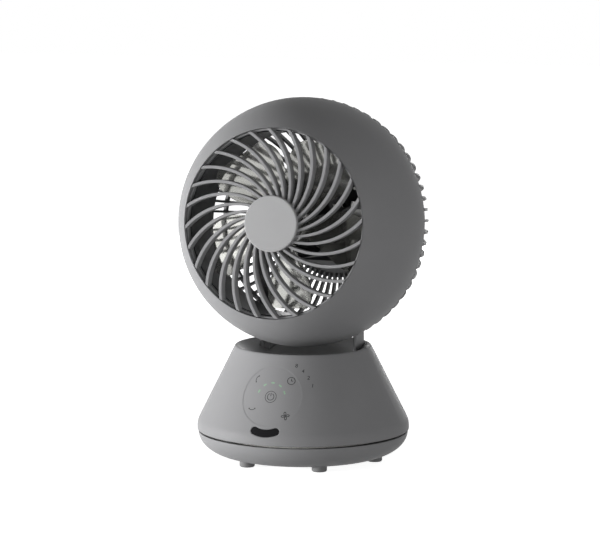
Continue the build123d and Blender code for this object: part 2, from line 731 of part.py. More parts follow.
def make_arm_screws():
    seat_z = FLOOR_TOP_Z + ARM_FOOT_T
    points = [(side * x, y) for side in (-1, 1) for x, y in arm_screw_points()]
    return [screw((x, y, seat_z), DOWN, ARM_FOOT_T) for x, y in points]


def make_tilt_bushes():
    """Flanged bushes in the eyes of both arms."""
    bore_r = TRUNNION_R + RUN_FIT
    outer_r = bore_r + TILT_BUSH_WALL
    bushes = []
    for side in (-1, 1):
        start = (side * ARM_IN_X, 0, HEAD_Z)
        outward = (side, 0, 0)
        bush = rod(start, outward, outer_r, ARM_T)
        flange = rod(start, (-side, 0, 0), outer_r + TILT_BUSH_FLANGE, TILT_BUSH_FLANGE_T)
        hole_start = (side * (ARM_IN_X - TILT_BUSH_FLANGE_T), 0, HEAD_Z)
        bushes.append(bush + flange - rod(hole_start, outward, bore_r, ARM_T + TILT_BUSH_FLANGE_T))
    return bushes


def make_cable_cover():
    """Channel on the inner face of the left arm that hides the leads to the head."""
    width = ARM_WIDTH - 2 * COVER_MARGIN
    height = COVER_HIGH_Z - COVER_LOW_Z
    centre = Pos(-ARM_IN_X, ARM_FRONT_Y + ARM_WIDTH / 2, COVER_LOW_Z)
    shell = Box(COVER_DEPTH, width, height, align=(Align.MIN, Align.CENTER, Align.MIN))
    hollow = Box(
        COVER_DEPTH - COVER_WALL,
        width - 2 * COVER_WALL,
        height,
        align=(Align.MIN, Align.CENTER, Align.MIN),
    )
    return centre * (shell - hollow)


def make_tilt_motor():
    return gear_motor((ARM_OUT_X, 0, HEAD_Z), (1, 0, 0), UP)


def make_tilt_shaft():
    """Drive shaft from the right trunnion into the tilt motor."""
    start_x = EAR_X - EAR_T
    length = ARM_OUT_X + GEARMOTOR_LENGTH / 2 - start_x
    return rod((start_x, 0, 0), (1, 0, 0), DRIVE_SHAFT_R, length)


# Ball head, drawn level about its centre


def make_front_shell():
    inner_r = HEAD_R - SHELL_WALL
    outline = [
        ball_arc(HEAD_R, OPENING_Y, SHELL_REAR_Y),
        Line(ball_point(HEAD_R, SHELL_REAR_Y), ball_point(inner_r, SHELL_REAR_Y)),
        ball_arc(inner_r, SHELL_REAR_Y, LIP_BACK_Y),
        Line(ball_point(inner_r, LIP_BACK_Y), (OPENING_R, LIP_BACK_Y)),
        Line((OPENING_R, LIP_BACK_Y), (OPENING_R, OPENING_Y)),
    ]
    return revolve(make_face(outline), Axis.Y)


def vane_edge(side):
    """Front view of one long edge of a vane: an arc through three radii."""
    stations = [
        (HUB_R - RING_WALL, 0.0, VANE_HUB_CHORD),
        (VANE_MID_R, VANE_MID_ANGLE, (VANE_HUB_CHORD + VANE_RING_CHORD) / 2),
        (RING_OUT_R - VANE_SET_BACK, VANE_SWEEP, VANE_RING_CHORD),
    ]
    points = [polar(r, angle + side * degrees(chord / 2 / r)) for r, angle, chord in stations]
    return ThreePointArc(*points)


def make_vane():
    """Curved vane, cut to the shallow cone between hub and ring."""
    left = vane_edge(1)
    right = vane_edge(-1)
    face = make_face([left, Line(left @ 1, right @ 1), right, Line(right @ 0, left @ 0)])
    front_y = OPENING_Y - HUB_FORWARD
    blank = extrude(Plane.XZ.offset(-front_y) * face, -2 * (VANE_DEPTH + HUB_FORWARD))
    hub_y = CAP_BACK_Y
    ring_y = OPENING_Y + VANE_SET_BACK
    band = make_face(
        Polyline(
            (0, hub_y), (HUB_R, hub_y), (OPENING_R, ring_y), (OPENING_R, ring_y + VANE_DEPTH),
            (HUB_R, hub_y + VANE_DEPTH), (0, hub_y + VANE_DEPTH), close=True,
        )
    )
    return blank & revolve(band, Axis.Y)


def make_front_grille():
    ring = axial_tube(RING_OUT_R, RING_IN_R, RING_FRONT_Y, DUCT_FRONT_Y)
    ring += axial_tube(OPENING_R + LIP_SEAT, RING_IN_R, LIP_BACK_Y, DUCT_FRONT_Y)
    hub = rod((0, CAP_BACK_Y, 0), BACK, HUB_R - VANE_SET_BACK, HUB_BOSS_T)
    vane = make_vane()
    vanes = [Rot(0, 360 * k / VANE_COUNT, 0) * vane for k in range(VANE_COUNT)]
    return ring + [hub, *vanes]


def make_hub_cap():
    """Bare cap on the hub with a rounded edge."""
    cap = rod((0, CAP_BACK_Y - CAP_T, 0), BACK, HUB_R, CAP_T)
    return fillet(cap.edges().group_by(Axis.Y)[0], CAP_ROUND)


def make_duct_ring():
    """Smooth air duct round the impeller, from the grille's flange to the shell's inside."""
    duct = axial_tube(DUCT_R + DUCT_WALL, DUCT_R, DUCT_FRONT_Y, DUCT_REAR_Y)
    duct += axial_tube(OPENING_R + LIP_SEAT, DUCT_R, DUCT_FRONT_Y, DUCT_FRONT_Y + FLANGE_T)
    skirt_y = DUCT_REAR_Y - FLANGE_T
    skirt_r = ball_point(HEAD_R - SHELL_WALL, skirt_y)[0]
    return duct + axial_tube(skirt_r, DUCT_R, skirt_y, DUCT_REAR_Y)


def fin_face(skin=0.0):
    """Side view of a fin: the ball's arc, a tangent arc into the back, and the inner edge.

    A skin makes the outline thinner by that much on both sides.
    """
    turn = atan2(FIN_BLEND_Y, FIN_BLEND_R)
    quarter = 90 - degrees(turn)
    edges = []
    for ball_r in (FIN_R - skin, FIN_R - FIN_DEPTH + skin):
        round_r = ball_r - FIN_R + REAR_BLEND_R
        edges.append(ball_arc(ball_r, SHELL_REAR_Y, ball_r * sin(turn)))
        edges.append(CenterArc((FIN_BLEND_R, FIN_BLEND_Y), round_r, degrees(turn), quarter))
    outer_arc, outer_blend, inner_arc, inner_blend = edges
    front_end = Line(outer_arc @ 0, inner_arc @ 0)
    back_end = Line(outer_blend @ 1, inner_blend @ 1)
    return make_face([*edges, front_end, back_end])


def swing_to_head(y, z, angle):
    """Where a point of the standing arm lies in the head when the head is tilted up by an angle."""
    turn = radians(angle)
    return (y * cos(turn) - z * sin(turn), y * sin(turn) + z * cos(turn))


def slot_prism(side, grow):
    """Space that one arm sweeps through the rear grille, over the whole tilt."""
    reach = HEAD_R + SADDLE_GAP
    depth = HEAD_R / 2
    front = ARM_FRONT_Y - SLOT_GAP - grow
    rear = ARM_REAR_Y + SLOT_GAP + grow
    outline = Polyline(
        (front, -depth),
        (front, -reach),
        (reach, -reach),
        swing_to_head(rear, -reach, TILT_SPAN),
        swing_to_head(rear, -depth, TILT_SPAN),
        close=True,
    )
    inner = ARM_IN_X - SLOT_GAP - grow
    if side < 0:
        inner -= COVER_DEPTH
    outer = ARM_OUT_X + SLOT_GAP + grow
    start = inner if side > 0 else -outer
    return extrude(Plane.YZ.offset(start) * make_face(outline), outer - inner)


def rear_post_points():
    return circle_points(POST_PITCH_R, REAR_POST_COUNT, 360 / REAR_POST_COUNT / 2)


def make_rear_grille():
    """Finned back of the ball with its rim, hoop, disc and the framed slots of the arms."""
    profile = fin_face()
    fin = extrude(profile, FIN_T / 2, both=True)
    band = revolve(fin_face(BAND_SKIN), Axis.Y)
    inner_r = HEAD_R - SHELL_WALL
    tongue_y = SHELL_REAR_Y - TONGUE_LENGTH
    tongue_r = ball_point(inner_r, SHELL_REAR_Y)[0] - TONGUE_GAP
    rim = band & axial_tube(HEAD_R, HEAD_R / 2, SHELL_REAR_Y, SHELL_REAR_Y + RIM_BAND)
    rim += axial_tube(tongue_r, tongue_r - TONGUE_T, tongue_y, SHELL_REAR_Y + RIM_BAND / 2)
    hoop = band & axial_tube(HEAD_R, HEAD_R / 2, HOOP_Y, HOOP_Y + HOOP_WIDTH)
    hoop -= Sphere(FIN_R) - Sphere(FIN_R - HOOP_INSET)
    fins = [Rot(0, 360 * (k + 0.5) / FIN_COUNT, 0) * fin for k in range(FIN_COUNT)]
    grille = rim + [make_rear_disc(), *fins]
    grille += hoop
    grille += [slot_prism(side, SLOT_WALL) & band for side in (-1, 1)]
    return grille - [slot_prism(side, 0) for side in (-1, 1)]


def make_rear_disc():
    """Solid middle of the rear grille with the posts that carry the bracket."""
    disc = rod((0, DISC_FRONT_Y, 0), BACK, REAR_DISC_R, REAR_DISC_T)
    for x, z in rear_post_points():
        disc += rod((x, BRACKET_REAR_Y, z), BACK, REAR_POST_R, DISC_FRONT_Y - BRACKET_REAR_Y)
        disc -= rod((x, BRACKET_REAR_Y, z), BACK, SCREW_R, REAR_Y - BRACKET_REAR_Y)
        disc -= rod((x, REAR_Y - SCREW_HEAD_T, z), BACK, SCREW_HEAD_R, SCREW_HEAD_T)
    return disc


def make_rear_screws():
    seat_y = REAR_Y - SCREW_HEAD_T
    length = seat_y - BRACKET_Y
    return [screw((x, seat_y, z), FRONT, length) for x, z in rear_post_points()]


def make_tilt_bracket():
    """Bent bracket: a plate behind the fan motor, two ears and a trunnion on each ear."""
    plate_face = RectangleRounded(2 * EAR_X, 2 * POST_PITCH_R * sin(pi / 4) + 2 * REAR_POST_R, REAR_POST_R)
    bracket = extrude(Plane.XZ.offset(-BRACKET_Y) * plate_face, -BRACKET_T)
    eye = Circle(ARM_EYE_R)
    root = Pos(BRACKET_Y, 0) * Rectangle(BRACKET_T, 2 * BRACKET_HALF_HEIGHT)
    ear_face = make_hull(eye.edges() + root.edges())
    for side in (-1, 1):
        start = EAR_X - EAR_T if side > 0 else -EAR_X
        bracket += extrude(Plane.YZ.offset(start) * ear_face, EAR_T)
        bracket += rod((side * (EAR_X - EAR_T), 0, 0), (side, 0, 0), TRUNNION_R, ARM_OUT_X - EAR_X + EAR_T)
    lead_length = ARM_OUT_X - EAR_X + EAR_T
    bracket -= rod((EAR_T - EAR_X, 0, 0), (-1, 0, 0), TRUNNION_BORE_R, lead_length)
    bracket -= rod((EAR_X - EAR_T, 0, 0), (1, 0, 0), DRIVE_SHAFT_R, lead_length)
    for x, z in rear_post_points() + motor_screw_points():
        bracket -= rod((x, BRACKET_Y, z), BACK, SCREW_R, BRACKET_T)
    return bracket


# Fan motor


def motor_screw_points():
    return circle_points(MOTOR_R - 2 * SCREW_HEAD_R, 3, 90)


def bearing_seat_front():
    return MOTOR_FRONT_Y + BEARING_SEAT


def bearing_seat_rear():
    return MOTOR_REAR_Y - BEARING_SEAT - BEARING_T


def motor_vents(front, rear):
    """Slots round a motor case."""
    cutters = []
    for k in range(MOTOR_VENTS):
        slot = extrude(
            Plane.XY.offset(MOTOR_R - 2 * MOTOR_WALL)
            * Pos(0, (front + rear) / 2)
            * SlotOverall(MOTOR_VENT_LENGTH, MOTOR_VENT_WIDTH, 90),
            4 * MOTOR_WALL,
        )
        cutters.append(Rot(0, 360 * k / MOTOR_VENTS, 0) * slot)
    return cutters


def make_motor_front_case():
    case = rod((0, MOTOR_FRONT_Y, 0), BACK, MOTOR_R, MOTOR_SPLIT_Y - MOTOR_FRONT_Y)
    case = fillet(case.edges().group_by(Axis.Y)[0], 2 * MOTOR_WALL)
    inner_y = MOTOR_FRONT_Y + BEARING_SEAT + BEARING_T
    case -= rod((0, inner_y, 0), BACK, MOTOR_R - MOTOR_WALL, MOTOR_SPLIT_Y - inner_y)
    case -= rod((0, bearing_seat_front(), 0), BACK, BEARING_R, BEARING_T)
    case -= rod((0, MOTOR_FRONT_Y, 0), BACK, SHAFT_R + ROTOR_GAP, BEARING_SEAT)
    return case - motor_vents(inner_y, MOTOR_SPLIT_Y)


def make_motor_rear_case():
    case = rod((0, MOTOR_SPLIT_Y, 0), BACK, MOTOR_R, MOTOR_REAR_Y - MOTOR_SPLIT_Y)
    case -= rod((0, MOTOR_SPLIT_Y, 0), BACK, MOTOR_R - MOTOR_WALL, bearing_seat_rear() - MOTOR_SPLIT_Y)
    case -= rod((0, bearing_seat_rear(), 0), BACK, BEARING_R, BEARING_T)
    for x, z in motor_screw_points():
        case -= rod((x, MOTOR_REAR_Y, z), FRONT, SCREW_R, SCREW_BITE)
    return case - motor_vents(MOTOR_SPLIT_Y, bearing_seat_rear())


def stator_front():
    return MOTOR_SPLIT_Y - STATOR_LENGTH / 2


def make_stator_core():
    """Stack of laminations with slots round its bore, clamped between the cases."""
    core = axial_tube(MOTOR_R - MOTOR_WALL, STATOR_BORE_R, stator_front(), stator_front() + STATOR_LENGTH)
    for k in range(STATOR_SLOTS):
        reach = STATOR_BORE_R + STATOR_SLOT_DEPTH
        slot = Pos(reach / 2, stator_front() + STATOR_LENGTH / 2, 0) * Box(
            reach, STATOR_LENGTH, STATOR_SLOT_WIDTH
        )
        core -= Rot(0, 360 * k / STATOR_SLOTS, 0) * slot
    return core


def make_motor_bearings():
    bore_r = SHAFT_R + RUN_FIT
    seats = (bearing_seat_front(), bearing_seat_rear())
    return [axial_tube(BEARING_R, bore_r, y, y + BEARING_T) for y in seats]


def make_motor_screws():
    seat_y = BRACKET_REAR_Y
    length = BRACKET_T + SCREW_BITE
    return [screw((x, seat_y, z), FRONT, length) for x, z in motor_screw_points()]


def make_motor_shaft():
    front = IMPELLER_FRONT_Y - SPINNER_LENGTH / 2
    rear = bearing_seat_rear() + BEARING_T
    return rod((0, front, 0), BACK, SHAFT_R, rear - front)


def make_motor_rotor():
    return axial_tube(STATOR_BORE_R - ROTOR_GAP, SHAFT_R, stator_front(), stator_front() + STATOR_LENGTH)


# Impeller


def blade_section(radius, chord, pitch):
    """Cambered section of a blade, square to the radius, at a pitch to the plane of rotation."""
    along = Vector(0, sin(radians(pitch)), -cos(radians(pitch)))
    across = Vector(0, cos(radians(pitch)), sin(radians(pitch)))
    centre = Vector(radius, IMPELLER_FRONT_Y + IMPELLER_DEPTH / 2, 0)
    camber = BLADE_CAMBER * chord
    ends = []
    for side in (1, -1):
        half = side * BLADE_EDGE_T / 2
        middle = side * BLADE_T / 2 + camber
        ends.append(
            ThreePointArc(
                centre - along * (chord / 2) + across * half,
                centre + across * middle,
                centre + along * (chord / 2) + across * half,
            )
        )
    top, low = ends
    return make_face([top, Line(top @ 1, low @ 1), low, Line(low @ 0, top @ 0)])


def make_blade():
    """Twisted blade whose outline swells and rounds off towards the tip."""
    root_r = IMPELLER_HUB_R - IMPELLER_WALL / 2
    span = IMPELLER_R - root_r
    sections = [blade_section(root_r + share * span, chord, pitch) for share, chord, pitch in BLADE_STATIONS]
    return loft(sections)


def make_impeller():
    """Cup-shaped hub with the blades round it."""
    hub = rod((0, IMPELLER_FRONT_Y, 0), BACK, IMPELLER_HUB_R, IMPELLER_DEPTH)
    hub = fillet(hub.edges().group_by(Axis.Y)[0], 2 * IMPELLER_WALL)
    inner_y = IMPELLER_FRONT_Y + 2 * IMPELLER_WALL
    hub -= axial_tube(
        IMPELLER_HUB_R - IMPELLER_WALL, SHAFT_R + 2 * IMPELLER_WALL, inner_y, IMPELLER_REAR_Y
    )
    hub -= rod((0, IMPELLER_FRONT_Y, 0), BACK, SHAFT_R, IMPELLER_DEPTH)
    hollow = axial_tube(IMPELLER_HUB_R - IMPELLER_WALL, SHAFT_R, inner_y, IMPELLER_REAR_Y)
    blade = make_blade() - hollow
    angles = [BLADE_FIRST_ANGLE + 360 * k / BLADE_COUNT for k in range(BLADE_COUNT)]
    blades = [Rot(0, -angle, 0) * blade for angle in angles]
    return hub + blades


def make_impeller_nut():
    """Rounded nut that holds the impeller on the shaft."""
    nut = rod((0, IMPELLER_FRONT_Y - SPINNER_LENGTH, 0), BACK, SPINNER_R, SPINNER_LENGTH)
    nut = fillet(nut.edges().group_by(Axis.Y)[0], SPINNER_LENGTH / 2)
    return nut - rod((0, IMPELLER_FRONT_Y - SPINNER_LENGTH / 2, 0), BACK, SHAFT_R, SPINNER_LENGTH / 2)


STANDING = {
    "base_tub": make_base_tub,
    "rubber_feet": make_rubber_feet,
    "ballast_plate": make_ballast_plate,
    "base_plate": make_base_plate,
    "base_screws": make_base_screws,
    "cord_gland": make_cord_gland,
    "pan_ring_gear": make_pan_ring_gear,
    "slide_ring": make_slide_ring,
    "pan_nut": make_pan_nut,
    "pan_pinion": make_pan_pinion,
    "cone_housing": make_cone_housing,
    "pedestal_floor": make_pedestal_floor,
    "floor_screws": make_floor_screws,
    "pan_bush": make_pan_bush,
    "pan_motor": make_pan_motor,
    "control_board": make_control_board,
    "light_lenses": make_light_lenses,
    "ir_window": make_ir_window,
    "ir_receiver": make_ir_receiver,
    "power_board": make_power_board,
    "left_arm": make_left_arm,
    "right_arm": make_right_arm,
    "arm_screws": make_arm_screws,
    "cable_cover": make_cable_cover,
    "tilt_bushes": make_tilt_bushes,
    "tilt_motor": make_tilt_motor,
}

TILTING = {
    "front_shell": make_front_shell,
    "front_grille": make_front_grille,
    "hub_cap": make_hub_cap,
    "duct_ring": make_duct_ring,
    "rear_grille": make_rear_grille,
    "rear_screws": make_rear_screws,
    "tilt_bracket": make_tilt_bracket,
    "tilt_shaft": make_tilt_shaft,
    "motor_front_case": make_motor_front_case,
    "motor_rear_case": make_motor_rear_case,
    "stator_core": make_stator_core,
    "motor_bearings": make_motor_bearings,
    "motor_screws": make_motor_screws,
    "motor_shaft": make_motor_shaft,
    "motor_rotor": make_motor_rotor,
    "impeller": make_impeller,
    "impeller_nut": make_impeller_nut,
}


def main():
    os.makedirs("parts", exist_ok=True)
    for node, make in {**STANDING, **TILTING}.items():
        shape = make()
        if isinstance(shape, list):
            shape = Compound(children=shape)
        if node in TILTING:
            shape = HEAD_PLACE * shape
        export_step(shape, f"parts/{node}.step")


main()
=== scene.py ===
"""Looks, studio and camera of a table-top air circulator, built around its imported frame.

The file is laid out as an add-on and run as a script. Every length is in metres, in the frame's own axes:
+Z up along the pan axis, -Y towards the front grille.
"""

import json
from math import cos, pi, radians, sin

import bmesh
import bpy
import numpy as np
from bpy.props import FloatProperty, FloatVectorProperty, IntProperty, PointerProperty
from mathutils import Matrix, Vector
from mathutils.bvhtree import BVHTree


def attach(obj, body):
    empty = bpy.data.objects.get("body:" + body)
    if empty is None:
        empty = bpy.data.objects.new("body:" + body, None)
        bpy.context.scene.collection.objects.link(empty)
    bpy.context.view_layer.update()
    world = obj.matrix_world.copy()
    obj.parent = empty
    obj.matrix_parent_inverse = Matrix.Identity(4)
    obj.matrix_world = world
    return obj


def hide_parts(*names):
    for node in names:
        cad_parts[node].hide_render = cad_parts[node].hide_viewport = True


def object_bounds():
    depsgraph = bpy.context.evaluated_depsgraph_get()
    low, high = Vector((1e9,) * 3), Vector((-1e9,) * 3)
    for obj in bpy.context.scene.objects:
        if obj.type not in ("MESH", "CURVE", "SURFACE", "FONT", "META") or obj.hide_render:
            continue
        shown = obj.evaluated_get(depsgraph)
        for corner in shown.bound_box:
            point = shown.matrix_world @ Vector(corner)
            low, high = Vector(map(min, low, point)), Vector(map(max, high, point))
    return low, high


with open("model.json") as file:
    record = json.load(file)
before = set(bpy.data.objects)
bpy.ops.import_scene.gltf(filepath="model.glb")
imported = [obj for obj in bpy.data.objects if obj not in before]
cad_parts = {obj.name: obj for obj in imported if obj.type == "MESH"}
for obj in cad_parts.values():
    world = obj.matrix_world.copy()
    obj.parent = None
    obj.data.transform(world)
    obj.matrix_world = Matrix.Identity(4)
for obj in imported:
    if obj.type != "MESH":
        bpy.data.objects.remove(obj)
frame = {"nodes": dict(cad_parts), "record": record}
CAD_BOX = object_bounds()

bl_info = {
    "name": "Air circulator looks",
    "version": (1, 0, 0),
    "blender": (4, 5, 0),
    "location": "View3D > Sidebar > Circulator",
    "description": "Finishes, panel marks, screws and studio for a table-top air circulator",
    "category": "Object",
}

MM = 0.001
ACROSS = Vector((1, 0, 0))
BACKWARD = Vector((0, 1, 0))
UP = Vector((0, 0, 1))
WHITE = (1, 1, 1, 1)
SCREW_NODES = ("base_screws", "floor_screws", "arm_screws", "rear_screws", "motor_screws")


# Settings


def colour_property(name, description, default):
    return FloatVectorProperty(
        name=name, description=description, subtype="COLOR", size=3, min=0, max=1, default=default
    )


def length_property(name, description, default):
    return FloatProperty(
        name=name, description=description, unit="LENGTH", subtype="DISTANCE", precision=5, default=default
    )


def angle_property(name, description, degrees):
    return FloatProperty(name=name, description=description, subtype="ANGLE", default=radians(degrees))


def power_property(name, description, default):
    return FloatProperty(name=name, description=description, unit="POWER", default=default)


class CirculatorFinish(bpy.types.PropertyGroup):
    """Colours of the moulded, rubber and metal pieces."""

    shell: colour_property("Shell", "Satin grey of the housing and the grilles", (0.245, 0.245, 0.25))
    cap: colour_property("Hub cap", "Smooth cap in the middle of the grille", (0.342, 0.342, 0.346))
    duct: colour_property("Duct", "Dark inner plastic", (0.042, 0.043, 0.045))
    motor: colour_property("Motor case", "Black inner plastic of the fan motor", (0.016, 0.016, 0.017))
    blade: colour_property("Blades", "Grey tint of the see-through impeller", (0.6, 0.6, 0.57))
    window: colour_property("Window", "Polished dark plastic of the receiver window", (0.006, 0.006, 0.007))
    ink: colour_property("Ink", "Printed marks of the touch panel", (0.028, 0.028, 0.03))
    light: colour_property("Light", "Dashes that shine through the panel", (0.21, 0.35, 0.23))
    lens: colour_property("Light guide", "Frosted guide behind the dashes", (0.75, 0.86, 0.78))
    rubber: colour_property("Rubber", "Feet", (0.2, 0.2, 0.202))
    steel: colour_property("Steel", "Plated screws and shafts", (0.58, 0.58, 0.57))
    iron: colour_property("Ballast", "Cast plate in the foot", (0.2, 0.2, 0.2))
    natural: colour_property("Bearing plastic", "Undyed slide and gear plastic", (0.8, 0.79, 0.75))
    mask: colour_property("Board", "Solder mask of the boards", (0.012, 0.09, 0.035))
    dust: colour_property("Dust", "Thin dust on faces that look up", (0.42, 0.41, 0.4))
    roughness: FloatProperty(
        name="Shell roughness",
        description="Satin level of the housing",
        subtype="FACTOR",
        min=0,
        max=1,
        default=0.52,
    )


class CirculatorPanel(bpy.types.PropertyGroup):
    """Sizes of the marks on the touch panel."""

    height: length_property("Panel height", "Height of the panel's middle above the table", 0.06975)
    pitch: length_property("Icon circle", "Radius of the circle that the icons lie on", 0.0234)
    digit_circle: length_property("Digit circle", "Radius of the arc of timer numbers at its top", 0.0364)
    digit_height: length_property("Digit height", "Height of a timer number", 0.0035)
    stroke: length_property("Stroke", "Width of a printed line", 0.00055)
    relief: length_property("Relief", "Thickness of the printed marks", 0.00004)
    light_circle: length_property("Light circle", "Radius of the arc of light dashes", 0.0132)
    light_length: length_property("Light length", "Length of one light dash", 0.0033)
    light_width: length_property("Light width", "Width of one light dash", 0.0013)
    light_count: IntProperty(name="Lights", description="Number of light dashes", min=1, default=5)
    light_span: angle_property("Light span", "Angle between the first and last dash", 136)


class CirculatorScrews(bpy.types.PropertyGroup):
    """Sizes of the drive in the screw heads."""

    recess_span: length_property("Drive span", "Length of one arm pair of the cross drive", 0.0034)
    recess_width: length_property("Drive width", "Width of an arm of the cross drive", 0.0007)
    recess_depth: length_property("Drive depth", "Depth of the cross drive", 0.0011)


class CirculatorStudio(bpy.types.PropertyGroup):
    """Camera, lamps and floor."""

    azimuth: angle_property("Azimuth", "Camera's angle from the front, towards +X", 21.4)
    pitch: angle_property("Pitch", "How far the camera looks down", 7.79)
    place: FloatVectorProperty(
        name="Place", description="Camera position", subtype="TRANSLATION", default=(0.9258, -2.3706, 0.5139)
    )
    lens: FloatProperty(name="Lens", description="Focal length for a 36 mm sensor", min=1, default=166.9)
    key: power_property("Key", "Power of the large lamp on the left", 43.0)
    fill: power_property("Fill", "Power of the soft lamp in front", 7.6)
    back: power_property("Back", "Power of the soft lamp behind", 9.0)
    ambient: FloatProperty(name="Ambient", description="Strength of the world's light", min=0, default=0.15)
    floor: colour_property("Floor", "Pale floor under the object", (0.8, 0.8, 0.8))


# Node building blocks


def link(tree, *pairs):
    """Links each (output, input) pair."""
    for source, target in pairs:
        tree.links.new(source, target)


def calculated(tree, operation, first, second):
    """Result of a Math node; each side is a number or a socket."""
    node = tree.nodes.new("ShaderNodeMath")
    node.operation = operation
    for socket, value in zip(node.inputs, (first, second)):
        if isinstance(value, bpy.types.NodeSocket):
            tree.links.new(value, socket)
        else:
            socket.default_value = value
    return node.outputs["Value"]


def group_tree(name, inputs, outputs):
    """Empty shader node group with named sockets, and its two end nodes."""
    tree = bpy.data.node_groups.new(name, "ShaderNodeTree")
    for label, default in inputs:
        socket = tree.interface.new_socket(label, in_out="INPUT", socket_type="NodeSocketFloat")
        socket.default_value = default
    for label in outputs:
        tree.interface.new_socket(label, in_out="OUTPUT", socket_type="NodeSocketFloat")
    return tree, tree.nodes.new("NodeGroupInput"), tree.nodes.new("NodeGroupOutput")


def object_noise(tree, detail, stretch=(1, 1, 1)):
    """Noise on the piece's own coordinates, stretched along an axis if wanted."""
    place = tree.nodes.new("ShaderNodeTexCoord")
    mapping = tree.nodes.new("ShaderNodeMapping")
    mapping.inputs["Scale"].default_value = stretch
    noise = tree.nodes.new("ShaderNodeTexNoise")
    noise.inputs["Detail"].default_value = detail
    link(
        tree,
        (place.outputs["Object"], mapping.inputs["Vector"]),
        (mapping.outputs["Vector"], noise.inputs["Vector"]),
    )
    return noise


def build_grain_group():
    """Fine moulded grain for bump, and a slow drift of tone for colour and gloss."""
    inputs = [("Grain", 2500.0), ("Drift", 30.0)]
    tree, given, result = group_tree("moulded_grain", inputs, ["Tone", "Height"])
    grain = object_noise(tree, detail=2.0)
    drift = object_noise(tree, detail=3.0)
    link(
        tree,
        (given.outputs["Grain"], grain.inputs["Scale"]),
        (given.outputs["Drift"], drift.inputs["Scale"]),
        (drift.outputs["Fac"], result.inputs["Tone"]),
        (grain.outputs["Fac"], result.inputs["Height"]),
    )
    return tree


def build_brush_group():
    """Long fine lines of drawn or brushed metal, from front to back."""
    tree, given, result = group_tree("brushed_lines", [("Lines", 900.0)], ["Tone", "Height"])
    lines = object_noise(tree, detail=4.0, stretch=(1, 0.04, 1))
    clouds = object_noise(tree, detail=2.0)
    clouds.inputs["Scale"].default_value = 120.0
    link(
        tree,
        (given.outputs["Lines"], lines.inputs["Scale"]),
        (lines.outputs["Fac"], result.inputs["Height"]),
        (clouds.outputs["Fac"], result.inputs["Tone"]),
    )
    return tree


def build_dust_group():
    """Mask of the thin dust that settles on faces that look up."""
    tree, given, result = group_tree("settled_dust", [("Patches", 160.0)], ["Mask"])
    geometry = tree.nodes.new("ShaderNodeNewGeometry")
    split = tree.nodes.new("ShaderNodeSeparateXYZ")
    lift = tree.nodes.new("ShaderNodeMapRange")
    lift.inputs["From Min"].default_value = 0.75
    patches = object_noise(tree, detail=5.0)
    link(
        tree,
        (geometry.outputs["Normal"], split.inputs["Vector"]),
        (split.outputs["Z"], lift.inputs["Value"]),
        (given.outputs["Patches"], patches.inputs["Scale"]),
    )
    mask = calculated(tree, "MULTIPLY", lift.outputs["Result"], patches.outputs["Fac"])
    link(tree, (mask, result.inputs["Mask"]))
    return tree


def shade(colour, factor):
    return tuple(min(1.0, channel * factor) for channel in colour)


class Finish:
    """One material under construction: its tree, its shader and the links into it."""

    def __init__(self, name):
        self.material = bpy.data.materials.new(name)
        self.material.use_nodes = True
        self.tree = self.material.node_tree
        self.shader = self.tree.nodes["Principled BSDF"]

    def group(self, tree, **values):
        """Places a shared node group with this material's own values."""
        node = self.tree.nodes.new("ShaderNodeGroup")
        node.node_tree = tree
        for label, value in values.items():
            node.inputs[label].default_value = value
        return node

    def plain(self, **values):
        """Sets shader sockets that are the same all over the surface."""
        for label, value in values.items():
            self.shader.inputs[label.replace("_", " ")].default_value = value

    def mixed(self, factor, low, high):
        """Colour that runs from one to the other with a factor."""
        mix = self.tree.nodes.new("ShaderNodeMix")
        mix.data_type = "RGBA"
        colours = [socket for socket in mix.inputs if socket.type == "RGBA"]
        for socket, colour in zip(colours, (low, high)):
            if isinstance(colour, bpy.types.NodeSocket):
                self.tree.links.new(colour, socket)
            else:
                socket.default_value = (*colour, 1)
        self.tree.links.new(factor, mix.inputs["Factor"])
        return next(socket for socket in mix.outputs if socket.type == "RGBA")

    def toned(self, factor, colour, low, high):
        """Colour that runs between two shades of one colour with a factor."""
        return self.mixed(factor, shade(colour, low), shade(colour, high))

    def colour(self, socket):
        self.tree.links.new(socket, self.shader.inputs["Base Color"])

    def rough(self, factor, low, high):
        """Roughness that runs between two levels with a factor."""
        level = self.tree.nodes.new("ShaderNodeMapRange")
        level.inputs["To Min"].default_value = low
        level.inputs["To Max"].default_value = high
        self.tree.links.new(factor, level.inputs["Value"])
        self.tree.links.new(level.outputs["Result"], self.shader.inputs["Roughness"])

    def bump(self, height, strength, depth, soft_edge=0.0):
        """Bump from a height, on normals that run round the edges if a soft edge is given."""
        node = self.tree.nodes.new("ShaderNodeBump")
        if soft_edge:
            rounded = self.tree.nodes.new("ShaderNodeBevel")
            rounded.samples = 6
            rounded.inputs["Radius"].default_value = soft_edge
            self.tree.links.new(rounded.outputs["Normal"], node.inputs["Normal"])
        node.inputs["Strength"].default_value = strength
        node.inputs["Distance"].default_value = depth
        self.tree.links.new(height, node.inputs["Height"])
        self.tree.links.new(node.outputs["Normal"], self.shader.inputs["Normal"])


# Finishes

GRAIN_DEPTH = 0.1 * MM
LINE_DEPTH = 0.05 * MM
CAST_DEPTH = 0.3 * MM


